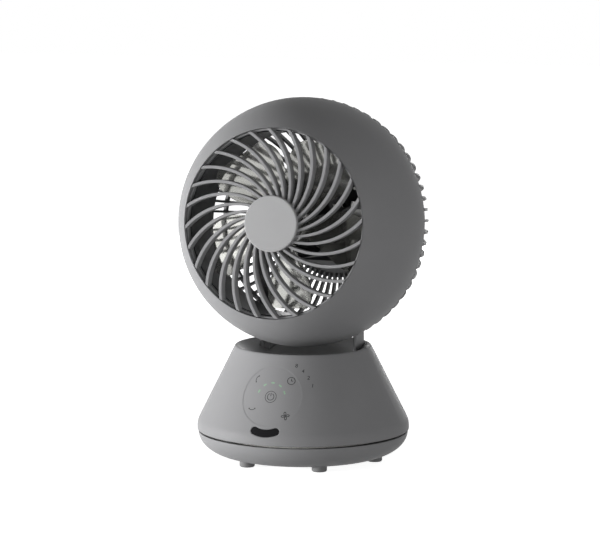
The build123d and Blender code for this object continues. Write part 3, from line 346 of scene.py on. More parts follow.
def moulded_plastic(name, groups, colour, roughness, grain=2600.0, strength=0.12, dust=None, soft_edge=0.0):
    """Grained moulded plastic with a slow drift of tone; dust is an amount and a colour."""
    finish = Finish(name)
    moulded = finish.group(groups["grain"], Grain=grain, Drift=26.0)
    surface = finish.toned(moulded.outputs["Tone"], colour, low=0.95, high=1.05)
    if dust:
        amount, dust_colour = dust
        settled = finish.group(groups["dust"], Patches=220.0)
        mask = calculated(finish.tree, "MULTIPLY", settled.outputs["Mask"], amount)
        surface = finish.mixed(mask, surface, dust_colour)
    finish.colour(surface)
    finish.rough(moulded.outputs["Tone"], roughness - 0.05, roughness + 0.05)
    finish.bump(moulded.outputs["Height"], strength, GRAIN_DEPTH, soft_edge)
    finish.plain(Specular_IOR_Level=0.08)
    return finish.material


def glossy_plastic(name, groups, colour, roughness, coat, specular=0.4):
    """Polished moulding with faint flow marks under a clear gloss."""
    finish = Finish(name)
    flow = finish.group(groups["grain"], Grain=180.0, Drift=45.0)
    finish.colour(finish.toned(flow.outputs["Tone"], colour, low=0.93, high=1.07))
    finish.rough(flow.outputs["Tone"], roughness * 0.8, roughness * 1.2)
    finish.bump(flow.outputs["Height"], strength=0.05, depth=GRAIN_DEPTH)
    finish.plain(Coat_Weight=coat, Coat_Roughness=0.06, Specular_IOR_Level=specular)
    return finish.material


def smoky_plastic(name, groups, colour, roughness):
    """See-through moulding with a grey tint and faint flow marks."""
    finish = Finish(name)
    flow = finish.group(groups["grain"], Grain=60.0, Drift=30.0)
    finish.colour(finish.toned(flow.outputs["Tone"], colour, low=0.93, high=1.07))
    finish.rough(flow.outputs["Tone"], roughness * 0.7, roughness * 1.3)
    finish.bump(flow.outputs["Height"], strength=0.02, depth=GRAIN_DEPTH)
    finish.plain(Transmission_Weight=0.82, IOR=1.46)
    return finish.material


def brushed_metal(name, groups, colour, roughness):
    """Plated or pressed metal with fine lines and cloudy gloss."""
    finish = Finish(name)
    brushed = finish.group(groups["brush"], Lines=1400.0)
    finish.colour(finish.toned(brushed.outputs["Tone"], colour, low=0.85, high=1.1))
    finish.rough(brushed.outputs["Tone"], roughness - 0.08, roughness + 0.1)
    finish.bump(brushed.outputs["Height"], strength=0.15, depth=LINE_DEPTH)
    finish.plain(Metallic=1.0)
    return finish.material


def laminated_steel(name, groups, colour):
    """Stacked sheets of a motor core, one behind the other, with thin dark lines between them."""
    finish = Finish(name)
    place = finish.tree.nodes.new("ShaderNodeTexCoord")
    sheets = finish.tree.nodes.new("ShaderNodeTexWave")
    sheets.bands_direction = "Y"
    sheets.inputs["Scale"].default_value = 160.0
    brushed = finish.group(groups["brush"], Lines=500.0)
    finish.tree.links.new(place.outputs["Object"], sheets.inputs["Vector"])
    finish.colour(finish.toned(sheets.outputs["Fac"], colour, low=0.4, high=1.0))
    finish.rough(brushed.outputs["Tone"], low=0.35, high=0.55)
    finish.bump(sheets.outputs["Fac"], strength=0.3, depth=GRAIN_DEPTH)
    finish.plain(Metallic=1.0)
    return finish.material


def cast_iron(name, groups, colour):
    """Raw casting with a coarse skin."""
    finish = Finish(name)
    skin = finish.group(groups["grain"], Grain=700.0, Drift=60.0)
    finish.colour(finish.toned(skin.outputs["Height"], colour, low=0.7, high=1.25))
    finish.rough(skin.outputs["Tone"], low=0.6, high=0.85)
    finish.bump(skin.outputs["Height"], strength=0.5, depth=CAST_DEPTH)
    finish.plain(Metallic=0.8)
    return finish.material


def circuit_board(name, groups, colour):
    """Solder mask over a web of fine tracks."""
    finish = Finish(name)
    place = finish.tree.nodes.new("ShaderNodeTexCoord")
    tracks = finish.tree.nodes.new("ShaderNodeTexBrick")
    tracks.inputs["Scale"].default_value = 140.0
    tracks.inputs["Mortar Size"].default_value = 0.03
    for label, factor in (("Color1", 0.9), ("Color2", 1.15), ("Mortar", 2.0)):
        tracks.inputs[label].default_value = (*shade(colour, factor), 1)
    mask = finish.group(groups["grain"], Grain=900.0, Drift=80.0)
    finish.tree.links.new(place.outputs["Object"], tracks.inputs["Vector"])
    finish.colour(tracks.outputs["Color"])
    finish.rough(mask.outputs["Tone"], low=0.25, high=0.4)
    finish.bump(tracks.outputs["Fac"], strength=0.2, depth=LINE_DEPTH)
    return finish.material


def shining_plastic(name, groups, colour, strength):
    """Shell plastic lit from behind, a little brighter in patches."""
    finish = Finish(name)
    milky = finish.group(groups["grain"], Grain=900.0, Drift=400.0)
    glow = finish.toned(milky.outputs["Tone"], colour, low=0.8, high=1.2)
    finish.colour(glow)
    finish.tree.links.new(glow, finish.shader.inputs["Emission Color"])
    finish.rough(milky.outputs["Tone"], low=0.4, high=0.55)
    finish.plain(Emission_Strength=strength)
    return finish.material


def build_finishes(colours):
    """Every finish of the object, by name."""
    groups = {"grain": build_grain_group(), "brush": build_brush_group(), "dust": build_dust_group()}
    shell, satin, dust = colours.shell, colours.roughness, colours.dust

    def moulded(name, colour, roughness, **values):
        return moulded_plastic(name, groups, colour, roughness, **values)

    return {
        "shell": moulded("satin_shell", shell, satin, dust=(0.04, dust), soft_edge=1.6 * MM),
        "vane": moulded("satin_vanes", shell, satin, dust=(0.03, dust), soft_edge=0.7 * MM),
        "cap": moulded("smooth_cap", colours.cap, satin - 0.1, grain=3200.0, strength=0.05),
        "duct": moulded("dark_duct", colours.duct, 0.42, grain=1800.0, strength=0.06),
        "motor": moulded("black_motor_case", colours.motor, 0.5, grain=2000.0, strength=0.1),
        "rubber": moulded("foot_rubber", colours.rubber, 0.75, grain=1500.0, strength=0.25),
        "natural": moulded("bearing_plastic", colours.natural, 0.4, grain=1200.0, strength=0.05),
        "blade": smoky_plastic("smoky_blades", groups, colours.blade, 0.08),
        "window": glossy_plastic("receiver_window", groups, colours.window, 0.3, coat=0.0, specular=0.1),
        "lens": glossy_plastic("light_guide", groups, colours.lens, 0.3, coat=0.2),
        "steel": brushed_metal("plated_steel", groups, colours.steel, 0.32),
        "can": brushed_metal("pressed_motor_can", groups, shade(colours.steel, 0.9), 0.45),
        "core": laminated_steel("laminated_core", groups, shade(colours.steel, 0.7)),
        "iron": cast_iron("cast_ballast", groups, colours.iron),
        "board": circuit_board("circuit_board", groups, colours.mask),
        "ink": moulded("panel_ink", colours.ink, 0.6, grain=4000.0, strength=0.02),
        "light": shining_plastic("panel_light", groups, colours.light, strength=0.07),
    }


NODE_FINISH = {
    "shell": ["base_tub", "cone_housing", "front_shell", "left_arm", "right_arm", "cable_cover"],
    "vane": ["front_grille", "rear_grille"],
    "cap": ["hub_cap"],
    "duct": ["duct_ring", "base_plate", "pedestal_floor", "tilt_bracket", "cord_gland"],
    "motor": ["motor_front_case", "motor_rear_case"],
    "window": ["ir_window"],
    "lens": ["light_lenses"],
    "blade": ["impeller", "impeller_nut"],
    "rubber": ["rubber_feet"],
    "natural": ["pan_ring_gear", "slide_ring", "pan_bush", "pan_pinion", "tilt_bushes"],
    "steel": [*SCREW_NODES, "motor_shaft", "tilt_shaft", "motor_bearings", "pan_nut"],
    "core": ["stator_core", "motor_rotor"],
    "can": ["pan_motor", "tilt_motor"],
    "iron": ["ballast_plate"],
    "board": ["control_board", "power_board", "ir_receiver"],
}


def finished(key):
    """A finish that the finishes operator has built."""
    return bpy.data.materials[bpy.context.scene["circulator_finish_names"][key]]


def dress_nodes(colours):
    """Gives every node of the frame its finish."""
    finishes = build_finishes(colours)
    bpy.context.scene["circulator_finish_names"] = {key: m.name for key, m in finishes.items()}
    dressed = set()
    for key, names in NODE_FINISH.items():
        for name in names:
            slots = frame["nodes"][name].data.materials
            slots.clear()
            slots.append(finishes[key])
            dressed.add(name)
    bare = set(frame["nodes"]) - dressed
    if bare:
        raise RuntimeError(f"nodes without a finish: {sorted(bare)}")


# Geometry Nodes building blocks


def node_tree(name, inputs):
    """Empty geometry node tree with named inputs, and its two end nodes."""
    tree = bpy.data.node_groups.new(name, "GeometryNodeTree")
    tree.interface.new_socket("Geometry", in_out="OUTPUT", socket_type="NodeSocketGeometry")
    for label, kind in inputs:
        tree.interface.new_socket(label, in_out="INPUT", socket_type=kind)
    return tree, tree.nodes.new("NodeGroupInput"), tree.nodes.new("NodeGroupOutput")


def spread(tree, given, result, shape, points, rotation):
    """Ends a tree: the shape on every point, turned, made real and given the material."""
    placed = tree.nodes.new("GeometryNodeInstanceOnPoints")
    realized = tree.nodes.new("GeometryNodeRealizeInstances")
    coated = tree.nodes.new("GeometryNodeSetMaterial")
    link(
        tree,
        (points, placed.inputs["Points"]),
        (shape, placed.inputs["Instance"]),
        (rotation, placed.inputs["Rotation"]),
        (placed.outputs["Instances"], realized.inputs["Geometry"]),
        (realized.outputs["Geometry"], coated.inputs["Geometry"]),
        (given.outputs["Material"], coated.inputs["Material"]),
        (coated.outputs["Geometry"], result.inputs["Geometry"]),
    )


def grown_piece(name, tree, seed, values):
    """Object whose plain mesh is what the tree makes from the seed mesh."""
    piece = bpy.data.objects.new(name, seed)
    bpy.context.scene.collection.objects.link(piece)
    modifier = piece.modifiers.new("build", "NODES")
    modifier.node_group = tree
    for item in tree.interface.items_tree:
        if item.item_type == "SOCKET" and item.in_out == "INPUT" and item.name in values:
            modifier[item.identifier] = values[item.name]
    graph = bpy.context.evaluated_depsgraph_get()
    mesh = bpy.data.meshes.new_from_object(piece.evaluated_get(graph))
    piece.modifiers.remove(modifier)
    piece.data = mesh
    if not mesh.polygons:
        raise RuntimeError(f"{name} came out empty")
    return piece


# Flat drawing of the panel's marks

PROBE_START = 0.1
PROBE_LIFT = 0.05
ARC_STEP = 9
ARC_LEAST_STEPS = 8
LINE_STEPS = 6
LEAF_CORNERS = 20
DOT_CORNERS = 14
PRINT_WELD = 0.002 * MM


class PanelSurface:
    """The touch panel's outer face: flat places on it are carried to the curved wall behind them."""

    def __init__(self, height):
        mesh = frame["nodes"]["cone_housing"].data
        corners = [vertex.co.copy() for vertex in mesh.vertices]
        self.wall = BVHTree.FromPolygons(corners, [tuple(face.vertices) for face in mesh.polygons])
        start = Vector((0, CAD_BOX[0].y - PROBE_START, height))
        self.centre, self.outward, _, _ = self.wall.ray_cast(start, BACKWARD)
        self.upward = self.outward.cross(ACROSS).normalized()

    def point(self, across, upward, lift):
        """Point on the wall behind a flat place, raised by the lift."""
        flat = self.centre + across * ACROSS + upward * self.upward
        hit, _, _, _ = self.wall.ray_cast(flat + self.outward * PROBE_LIFT, -self.outward)
        if hit is None:
            raise RuntimeError("a panel mark lies off the cone")
        return hit + lift * self.outward


def on_circle(radius, angle):
    """Flat place at a radius and an angle in degrees, from the right towards the top."""
    return (radius * cos(radians(angle)), radius * sin(radians(angle)))


class FlatDrawing:
    """Printed marks drawn flat as closed strips, before they are laid on the panel."""

    def __init__(self, stroke):
        self.shapes = bmesh.new()
        self.stroke = stroke

    def band(self, line, width=None, closed=False):
        """Strip of even width along a line of points."""
        half = (width or self.stroke) / 2
        count = len(line)
        pairs = []
        for k, (x, y) in enumerate(line):
            before = line[k - 1] if closed or k else line[0]
            after = line[(k + 1) % count] if closed or k + 1 < count else line[-1]
            along = Vector((after[0] - before[0], after[1] - before[1])).normalized()
            side = Vector((-along.y, along.x)) * half
            pairs.append([self.shapes.verts.new((x + s * side.x, y + s * side.y, 0)) for s in (1, -1)])
        for k in range(count if closed else count - 1):
            (a, b), (c, d) = pairs[k], pairs[(k + 1) % count]
            self.shapes.faces.new((a, b, d, c))

    def arc(self, centre, radius, start, end, width=None):
        """Strip along an arc, angles in degrees; a full turn closes on itself."""
        closed = abs(end - start) >= 360
        steps = max(ARC_LEAST_STEPS, int(abs(end - start) / ARC_STEP))
        count = steps if closed else steps + 1
        angles = [radians(start + (end - start) * k / steps) for k in range(count)]
        line = [(centre[0] + radius * cos(a), centre[1] + radius * sin(a)) for a in angles]
        self.band(line, width, closed)

    def line(self, start, end):
        """Straight strip, cut into steps so that it can follow the curved wall."""
        shares = [k / LINE_STEPS for k in range(LINE_STEPS + 1)]
        self.band([tuple(a + (b - a) * share for a, b in zip(start, end)) for share in shares])

    def leaf(self, centre, reach, length, width, turn):
        """Closed oval outline whose long axis points away from a centre."""
        line = []
        for k in range(LEAF_CORNERS):
            angle = 2 * pi * k / LEAF_CORNERS
            along = reach + length / 2 * cos(angle)
            side = width / 2 * sin(angle)
            x = along * cos(radians(turn)) - side * sin(radians(turn))
            y = along * sin(radians(turn)) + side * cos(radians(turn))
            line.append((centre[0] + x, centre[1] + y))
        self.band(line, closed=True)

    def dot(self, centre, radius):
        """Filled round spot."""
        middle = self.shapes.verts.new((*centre, 0))
        rim = []
        for k in range(DOT_CORNERS):
            x, y = on_circle(radius, 360 * k / DOT_CORNERS)
            rim.append(self.shapes.verts.new((centre[0] + x, centre[1] + y, 0)))
        for k in range(DOT_CORNERS):
            self.shapes.faces.new((middle, rim[k], rim[(k + 1) % DOT_CORNERS]))

    def mesh(self, name):
        mesh = bpy.data.meshes.new(name)
        self.shapes.to_mesh(mesh)
        self.shapes.free()
        return mesh


def laid_piece(name, meshes, surface, relief, finish):
    """Joins flat meshes, lays them on the panel and gives them the thickness of a print."""
    flat = bmesh.new()
    for mesh in meshes:
        flat.from_mesh(mesh)
    bmesh.ops.remove_doubles(flat, verts=flat.verts, dist=PRINT_WELD)
    bmesh.ops.triangulate(flat, faces=flat.faces)
    for face in flat.faces:
        if face.normal.z < 0:
            face.normal_flip()
    solid = bmesh.new()
    upper, lower = (
        {vertex: solid.verts.new(surface.point(vertex.co.x, vertex.co.y, lift)) for vertex in flat.verts}
        for lift in (relief, -relief)
    )
    for face in flat.faces:
        solid.faces.new([upper[vertex] for vertex in face.verts])
        solid.faces.new([lower[vertex] for vertex in reversed(face.verts)])
        for loop in face.loops:
            if loop.edge.is_boundary:
                a, b = loop.vert, loop.link_loop_next.vert
                solid.faces.new((upper[a], lower[a], lower[b], upper[b]))
    mesh = bpy.data.meshes.new(name)
    solid.to_mesh(mesh)
    solid.free()
    flat.free()
    mesh.materials.append(finish)
    piece = bpy.data.objects.new(name, mesh)
    bpy.context.scene.collection.objects.link(piece)
    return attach(piece, "pedestal")


# Icons and timer numbers, with angles in degrees and places measured from the middle of the panel

POWER_RING_R = 5.3 * MM
POWER_RING_STROKE = 0.8
POWER_ARC_R = 3.1 * MM
POWER_ARC_GAP = 44
POWER_DASH_LOW = 0.6 * MM
POWER_DASH_TOP = 3.7 * MM

SWING_R = 4.0 * MM
SWING_HALF_ANGLE = 48
SWING_PULL = 0.8
SWING_SPOT = 1.1

CLOCK_R = 3.4 * MM
CLOCK_LONG_HAND = 2.1 * MM
CLOCK_HAND_TAIL = 0.2 * MM
CLOCK_SHORT_HAND = 1.6 * MM

LEAF_COUNT = 4
LEAF_TURN = 15
LEAF_REACH = 2.2 * MM
LEAF_LENGTH = 2.9 * MM
LEAF_WIDTH = 1.8 * MM
LEAF_HUB_R = 0.5 * MM

TILT_ICON_ANGLE = 135
TILT_ICON_BULGE = 160
PAN_ICON_ANGLE = 216
PAN_ICON_BULGE = 270
PAN_ICON_SHARE = 0.88
CLOCK_ICON_ANGLE = 45
SPEED_ICON_ANGLE = -45

DIGITS = "8421"
DIGIT_FIRST_ANGLE = 58.8
DIGIT_STEP = 11.9
DIGIT_WIDENING = 0.65 * MM
DIGIT_FONT_SIZE = 1.4


def draw_power_key(drawing):
    """Ring with the broken circle and upright dash of a power key."""
    drawing.arc((0, 0), POWER_RING_R, 0, 360, drawing.stroke * POWER_RING_STROKE)
    drawing.arc((0, 0), POWER_ARC_R, 90 + POWER_ARC_GAP / 2, 450 - POWER_ARC_GAP / 2)
    drawing.line((0, POWER_DASH_LOW), (0, POWER_DASH_TOP))


def draw_swing_arc(drawing, centre, bulge):
    """Arc with a spot at each end, bulging towards an angle."""
    pull = on_circle(SWING_R * SWING_PULL, bulge)
    arc_centre = (centre[0] - pull[0], centre[1] - pull[1])
    drawing.arc(arc_centre, SWING_R, bulge - SWING_HALF_ANGLE, bulge + SWING_HALF_ANGLE)
    for side in (-SWING_HALF_ANGLE, SWING_HALF_ANGLE):
        x, y = on_circle(SWING_R, bulge + side)
        drawing.dot((arc_centre[0] + x, arc_centre[1] + y), drawing.stroke * SWING_SPOT)


def draw_clock(drawing, centre):
    """Round face with two hands."""
    x, y = centre
    drawing.arc(centre, CLOCK_R, 0, 360)
    drawing.line((x, y + CLOCK_LONG_HAND), (x, y - CLOCK_HAND_TAIL))
    drawing.line((x, y), (x + CLOCK_SHORT_HAND, y))


def draw_fan(drawing, centre):
    """Leaf-shaped blades round a spot."""
    drawing.dot(centre, LEAF_HUB_R)
    for k in range(LEAF_COUNT):
        drawing.leaf(centre, LEAF_REACH, LEAF_LENGTH, LEAF_WIDTH, LEAF_TURN + 360 / LEAF_COUNT * k)


def draw_digits(circle, height):
    """Flat meshes of the timer numbers, upright on an arc beside the panel that widens downwards."""
    meshes = []
    for k, label in enumerate(DIGITS):
        text = bpy.data.curves.new(f"digit_{label}", "FONT")
        text.body = label
        text.size = height * DIGIT_FONT_SIZE
        text.align_x = "CENTER"
        text.align_y = "CENTER"
        carrier = bpy.data.objects.new(text.name, text)
        bpy.context.scene.collection.objects.link(carrier)
        graph = bpy.context.evaluated_depsgraph_get()
        mesh = bpy.data.meshes.new_from_object(carrier.evaluated_get(graph))
        bpy.data.objects.remove(carrier)
        x, y = on_circle(circle + DIGIT_WIDENING * k, DIGIT_FIRST_ANGLE - DIGIT_STEP * k)
        for vertex in mesh.vertices:
            vertex.co.x += x
            vertex.co.y += y
        meshes.append(mesh)
    return meshes


def print_panel(sizes):
    """Power key, swing, timer and speed icons, and the timer numbers."""
    surface = PanelSurface(sizes.height)
    drawing = FlatDrawing(sizes.stroke)
    draw_power_key(drawing)
    draw_swing_arc(drawing, on_circle(sizes.pitch, TILT_ICON_ANGLE), TILT_ICON_BULGE)
    draw_swing_arc(drawing, on_circle(sizes.pitch * PAN_ICON_SHARE, PAN_ICON_ANGLE), PAN_ICON_BULGE)
    draw_clock(drawing, on_circle(sizes.pitch, CLOCK_ICON_ANGLE))
    draw_fan(drawing, on_circle(sizes.pitch, SPEED_ICON_ANGLE))
    laid_piece("panel_icons", [drawing.mesh("panel_icons")], surface, sizes.relief, finished("ink"))
    digits = draw_digits(sizes.digit_circle, sizes.digit_height)
    laid_piece("timer_digits", digits, surface, sizes.relief, finished("ink"))


# Light dashes

DASH_CORNER = 0.45
DASH_CORNER_STEPS = 4


def dash_arc_tree():
    """Rounded dashes spaced along an arc, each turned along it."""
    labels = ("Radius", "Start", "Sweep", "Length", "Width", "Corner")
    sockets = [("Count", "NodeSocketInt")]
    sockets += [(label, "NodeSocketFloat") for label in labels]
    sockets += [("Material", "NodeSocketMaterial")]
    tree, given, result = node_tree("dash_arc", sockets)
    new = tree.nodes.new
    arc = new("GeometryNodeCurveArc")
    outline = new("GeometryNodeCurvePrimitiveQuadrilateral")
    rounded = new("GeometryNodeFilletCurve")
    rounded.mode = "POLY"
    rounded.inputs["Count"].default_value = DASH_CORNER_STEPS
    filled = new("GeometryNodeFillCurve")
    points = new("GeometryNodeCurveToPoints")
    turn = new("FunctionNodeAlignRotationToVector")
    turn.axis = "X"
    turn.pivot_axis = "Z"
    link(
        tree,
        (given.outputs["Radius"], arc.inputs["Radius"]),
        (given.outputs["Start"], arc.inputs["Start Angle"]),
        (given.outputs["Sweep"], arc.inputs["Sweep Angle"]),
        (arc.outputs["Curve"], points.inputs["Curve"]),
        (given.outputs["Count"], points.inputs["Count"]),
        (given.outputs["Length"], outline.inputs["Width"]),
        (given.outputs["Width"], outline.inputs["Height"]),
        (outline.outputs["Curve"], rounded.inputs["Curve"]),
        (given.outputs["Corner"], rounded.inputs["Radius"]),
        (rounded.outputs["Curve"], filled.inputs["Curve"]),
        (points.outputs["Tangent"], turn.inputs["Vector"]),
    )
    spread(tree, given, result, filled.outputs["Mesh"], points.outputs["Points"], turn.outputs["Rotation"])
    return tree


def light_panel(sizes):
    """Dashes of light round the power key, on an arc centred on the upward direction."""
    values = {
        "Count": sizes.light_count,
        "Radius": sizes.light_circle,
        "Start": pi / 2 - sizes.light_span / 2,
        "Sweep": sizes.light_span,
        "Length": sizes.light_length,
        "Width": sizes.light_width,
        "Corner": sizes.light_width * DASH_CORNER,
        "Material": finished("light"),
    }
    flat = grown_piece("flat_dashes", dash_arc_tree(), bpy.data.meshes.new("dash_seed"), values)
    surface = PanelSurface(sizes.height)
    laid_piece("light_dashes", [flat.data], surface, sizes.relief, finished("light"))
    bpy.data.objects.remove(flat)


# Screws, with the parts of a head as shares of its height or radius

SOLID_WELD = 0.001 * MM
END_BAND = 0.1 * MM
SHANK_END = 0.9
HEAD_RIM = 0.99
ROUND_CORNERS = 28
SKIRT_SHARE = 0.55
CROWN_SHARE = 0.451
CROWN_TOP_SHARE = 0.74
SHANK_OVERLAP = 0.3


def islands(node):
    """Corner points of each separate solid in a node, in the same order each run."""
    joined = bmesh.new()
    joined.from_mesh(frame["nodes"][node].data)
    bmesh.ops.remove_doubles(joined, verts=joined.verts, dist=SOLID_WELD)
    found = []
    waiting = dict.fromkeys(joined.verts)
    while waiting:
        edge_of_search = [waiting.popitem()[0]]
        solid = []
        while edge_of_search:
            vertex = edge_of_search.pop()
            solid.append(tuple(vertex.co))
            for edge in vertex.link_edges:
                other = edge.other_vert(vertex)
                if other in waiting:
                    del waiting[other]
                    edge_of_search.append(other)
        found.append(np.array(solid))
    joined.free()
    return found


def along_and_off(points, axis):
    """How far each point lies along an axis through the origin, and how far off it."""
    along = points @ axis
    return along, np.linalg.norm(points - np.outer(along, axis), axis=1)


class ScrewMeasure:
    """Place, direction and sizes of one screw, measured on its solid in the frame."""

    def __init__(self, points):
        middle = points.mean(0)
        _, axes = np.linalg.eigh(np.cov((points - middle).T))
        along, off = along_and_off(points - middle, axes[:, -1])
        ends = [along.max() - along < END_BAND, along - along.min() < END_BAND]
        head_end, shank_end = sorted(ends, key=lambda end: off[end].max(), reverse=True)
        top, tip = points[head_end].mean(0), points[shank_end].mean(0)
        self.top = Vector(top)
        self.outward = (self.top - Vector(tip)).normalized()
        self.length = (self.top - Vector(tip)).length
        depth, reach = along_and_off(points - top, -np.array(self.outward))
        self.head_radius = reach.max()
        self.shank_radius = reach[depth > SHANK_END * self.length].max()
        self.head_height = depth[reach > HEAD_RIM * self.head_radius].max()


def frustum(tree, bottom, top, depth, low):
    """Round solid between two radii whose lower face is at the given height."""
    cone = tree.nodes.new("GeometryNodeMeshCone")
    cone.inputs["Vertices"].default_value = ROUND_CORNERS
    raised = tree.nodes.new("GeometryNodeTransform")
    offset = tree.nodes.new("ShaderNodeCombineXYZ")
    link(
        tree,
        (bottom, cone.inputs["Radius Bottom"]),
        (top, cone.inputs["Radius Top"]),
        (depth, cone.inputs["Depth"]),
        (low, offset.inputs["Z"]),
        (offset.outputs["Vector"], raised.inputs["Translation"]),
        (cone.outputs["Mesh"], raised.inputs["Geometry"]),
    )
    return raised.outputs["Geometry"]


def boolean(tree, operation):
    node = tree.nodes.new("GeometryNodeMeshBoolean")
    node.operation = operation
    node.solver = "EXACT"
    return node


def screw_body(tree, given):
    """Pan head with its top at height zero, made of a skirt and a crown, on a plain shank."""
    radius, height = given.outputs["Head Radius"], given.outputs["Head Height"]
    shank_radius, shank_length = given.outputs["Shank Radius"], given.outputs["Shank Length"]
    skirt = calculated(tree, "MULTIPLY", height, SKIRT_SHARE)
    skirt_low = calculated(tree, "MULTIPLY", height, -1.0)
    crown = calculated(tree, "MULTIPLY", height, CROWN_SHARE)
    crown_low = calculated(tree, "MULTIPLY", height, -CROWN_SHARE)
    crown_top = calculated(tree, "MULTIPLY", radius, CROWN_TOP_SHARE)
    shank_low = calculated(tree, "SUBTRACT", skirt_low, shank_length)
    overlap = calculated(tree, "MULTIPLY", height, SHANK_OVERLAP)
    shank_depth = calculated(tree, "ADD", shank_length, overlap)
    solids = [
        frustum(tree, radius, radius, skirt, skirt_low),
        frustum(tree, radius, crown_top, crown, crown_low),
        frustum(tree, shank_radius, shank_radius, shank_depth, shank_low),
    ]
    body = boolean(tree, "UNION")
    for solid in solids:
        tree.links.new(solid, body.inputs["Mesh 2"])
    return body.outputs["Mesh"]


def cross_driven(tree, given, body):
    """Screw body with two crossed bars cut out of its head."""
    drive = boolean(tree, "DIFFERENCE")
    tree.links.new(body, drive.inputs["Mesh 1"])
    for long_side, short_side in (("X", "Y"), ("Y", "X")):
        size = tree.nodes.new("ShaderNodeCombineXYZ")
        bar = tree.nodes.new("GeometryNodeMeshCube")
        link(
            tree,
            (given.outputs["Span"], size.inputs[long_side]),
            (given.outputs["Width"], size.inputs[short_side]),
            (calculated(tree, "MULTIPLY", given.outputs["Depth"], 2.0), size.inputs["Z"]),
            (size.outputs["Vector"], bar.inputs["Size"]),
            (bar.outputs["Mesh"], drive.inputs["Mesh 2"]),
        )
    return drive.outputs["Mesh"]


def screw_tree():
    """Pan-head screws with a cross drive, one on each seed point, along the seed's outward attribute."""
    labels = ("Head Radius", "Head Height", "Shank Radius", "Shank Length", "Span", "Width", "Depth")
    sockets = [("Geometry", "NodeSocketGeometry")]
    sockets += [(label, "NodeSocketFloat") for label in labels]
    sockets += [("Material", "NodeSocketMaterial")]
    tree, given, result = node_tree("cross_drive_screws", sockets)
    screw = cross_driven(tree, given, screw_body(tree, given))
    heading = tree.nodes.new("GeometryNodeInputNamedAttribute")
    heading.data_type = "FLOAT_VECTOR"
    heading.inputs["Name"].default_value = "outward"
    turn = tree.nodes.new("FunctionNodeAlignRotationToVector")
    turn.axis = "Z"
    tree.links.new(heading.outputs["Attribute"], turn.inputs["Vector"])
    spread(tree, given, result, screw, given.outputs["Geometry"], turn.outputs["Rotation"])
    return tree


def drive_screws(sizes):
    """Replaces each plain screw set with screws that have a cross drive."""
    tree = screw_tree()
    bodies = {name: body for body, names in frame["record"]["behaviour"]["bodies"].items() for name in names}
    for node in SCREW_NODES:
        measures = [ScrewMeasure(points) for points in islands(node)]
        seed = bpy.data.meshes.new(f"{node}_seed")
        seed.from_pydata([measure.top for measure in measures], [], [])
        heading = seed.attributes.new("outward", "FLOAT_VECTOR", "POINT")
        for slot, measure in zip(heading.data, measures):
            slot.vector = measure.outward
        first = measures[0]
        values = {
            "Head Radius": first.head_radius,
            "Head Height": first.head_height,
            "Shank Radius": first.shank_radius,
            "Shank Length": first.length - first.head_height,
            "Span": sizes.recess_span,
            "Width": sizes.recess_width,
            "Depth": sizes.recess_depth,
            "Material": finished("steel"),
        }
        piece = grown_piece(f"driven_{node}", tree, seed, values)
        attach(piece, bodies[node])
        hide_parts(node)


# Studio, with each lamp's place as steps to the camera's right, towards it and up from the object's middle

SENSOR_WIDTH = 36.0
FLOOR_HALF = 6.0
FLOOR_DROP = 0.05 * MM
LAMPS = (
    {"name": "key_left", "steps": (-1.58, 0.24, -0.04), "width": 1.1, "height": 0.24, "power": "key"},
    {"name": "fill_front", "steps": (0.8, 1.5, 0.02), "width": 1.0, "height": 0.3, "power": "fill"},
    {"name": "fill_back", "steps": (0.3, -1.65, 0.05), "width": 1.0, "height": 0.4, "power": "back"},
)


def soft_lamp(name, place, target, width, height, power):
    """Area lamp that looks at a target and is seen neither directly nor through the blades."""
    data = bpy.data.lights.new(name, "AREA")
    data.energy = power
    data.shape = "RECTANGLE"
    data.size = width
    data.size_y = height
    lamp = bpy.data.objects.new(name, data)
    lamp.visible_camera = False
    lamp.visible_transmission = False
    lamp.location = place
    lamp.rotation_euler = (target - place).to_track_quat("-Z", "Y").to_euler()
    bpy.context.scene.collection.objects.link(lamp)


def build_lamps(studio):
    """Key lamp on the left, and a soft lamp in front and behind."""
    middle = (CAD_BOX[0] + CAD_BOX[1]) / 2
    right = Vector((cos(studio.azimuth), sin(studio.azimuth), 0))
    near = Vector((sin(studio.azimuth), -cos(studio.azimuth), 0))
    for lamp in LAMPS:
        to_right, to_near, to_up = lamp["steps"]
        place = middle + to_right * right + to_near * near + to_up * UP
        power = getattr(studio, lamp["power"])
        soft_lamp(lamp["name"], place, middle, lamp["width"], lamp["height"], power)


def seen_directly(tree):
    """Socket that is one for camera, glossy and transmission rays, and zero for light on other surfaces."""
    ray = tree.nodes.new("ShaderNodeLightPath")
    level = ray.outputs["Is Camera Ray"]
    for label in ("Is Glossy Ray", "Is Transmission Ray"):
        level = calculated(tree, "MAXIMUM", level, ray.outputs[label])
    return level


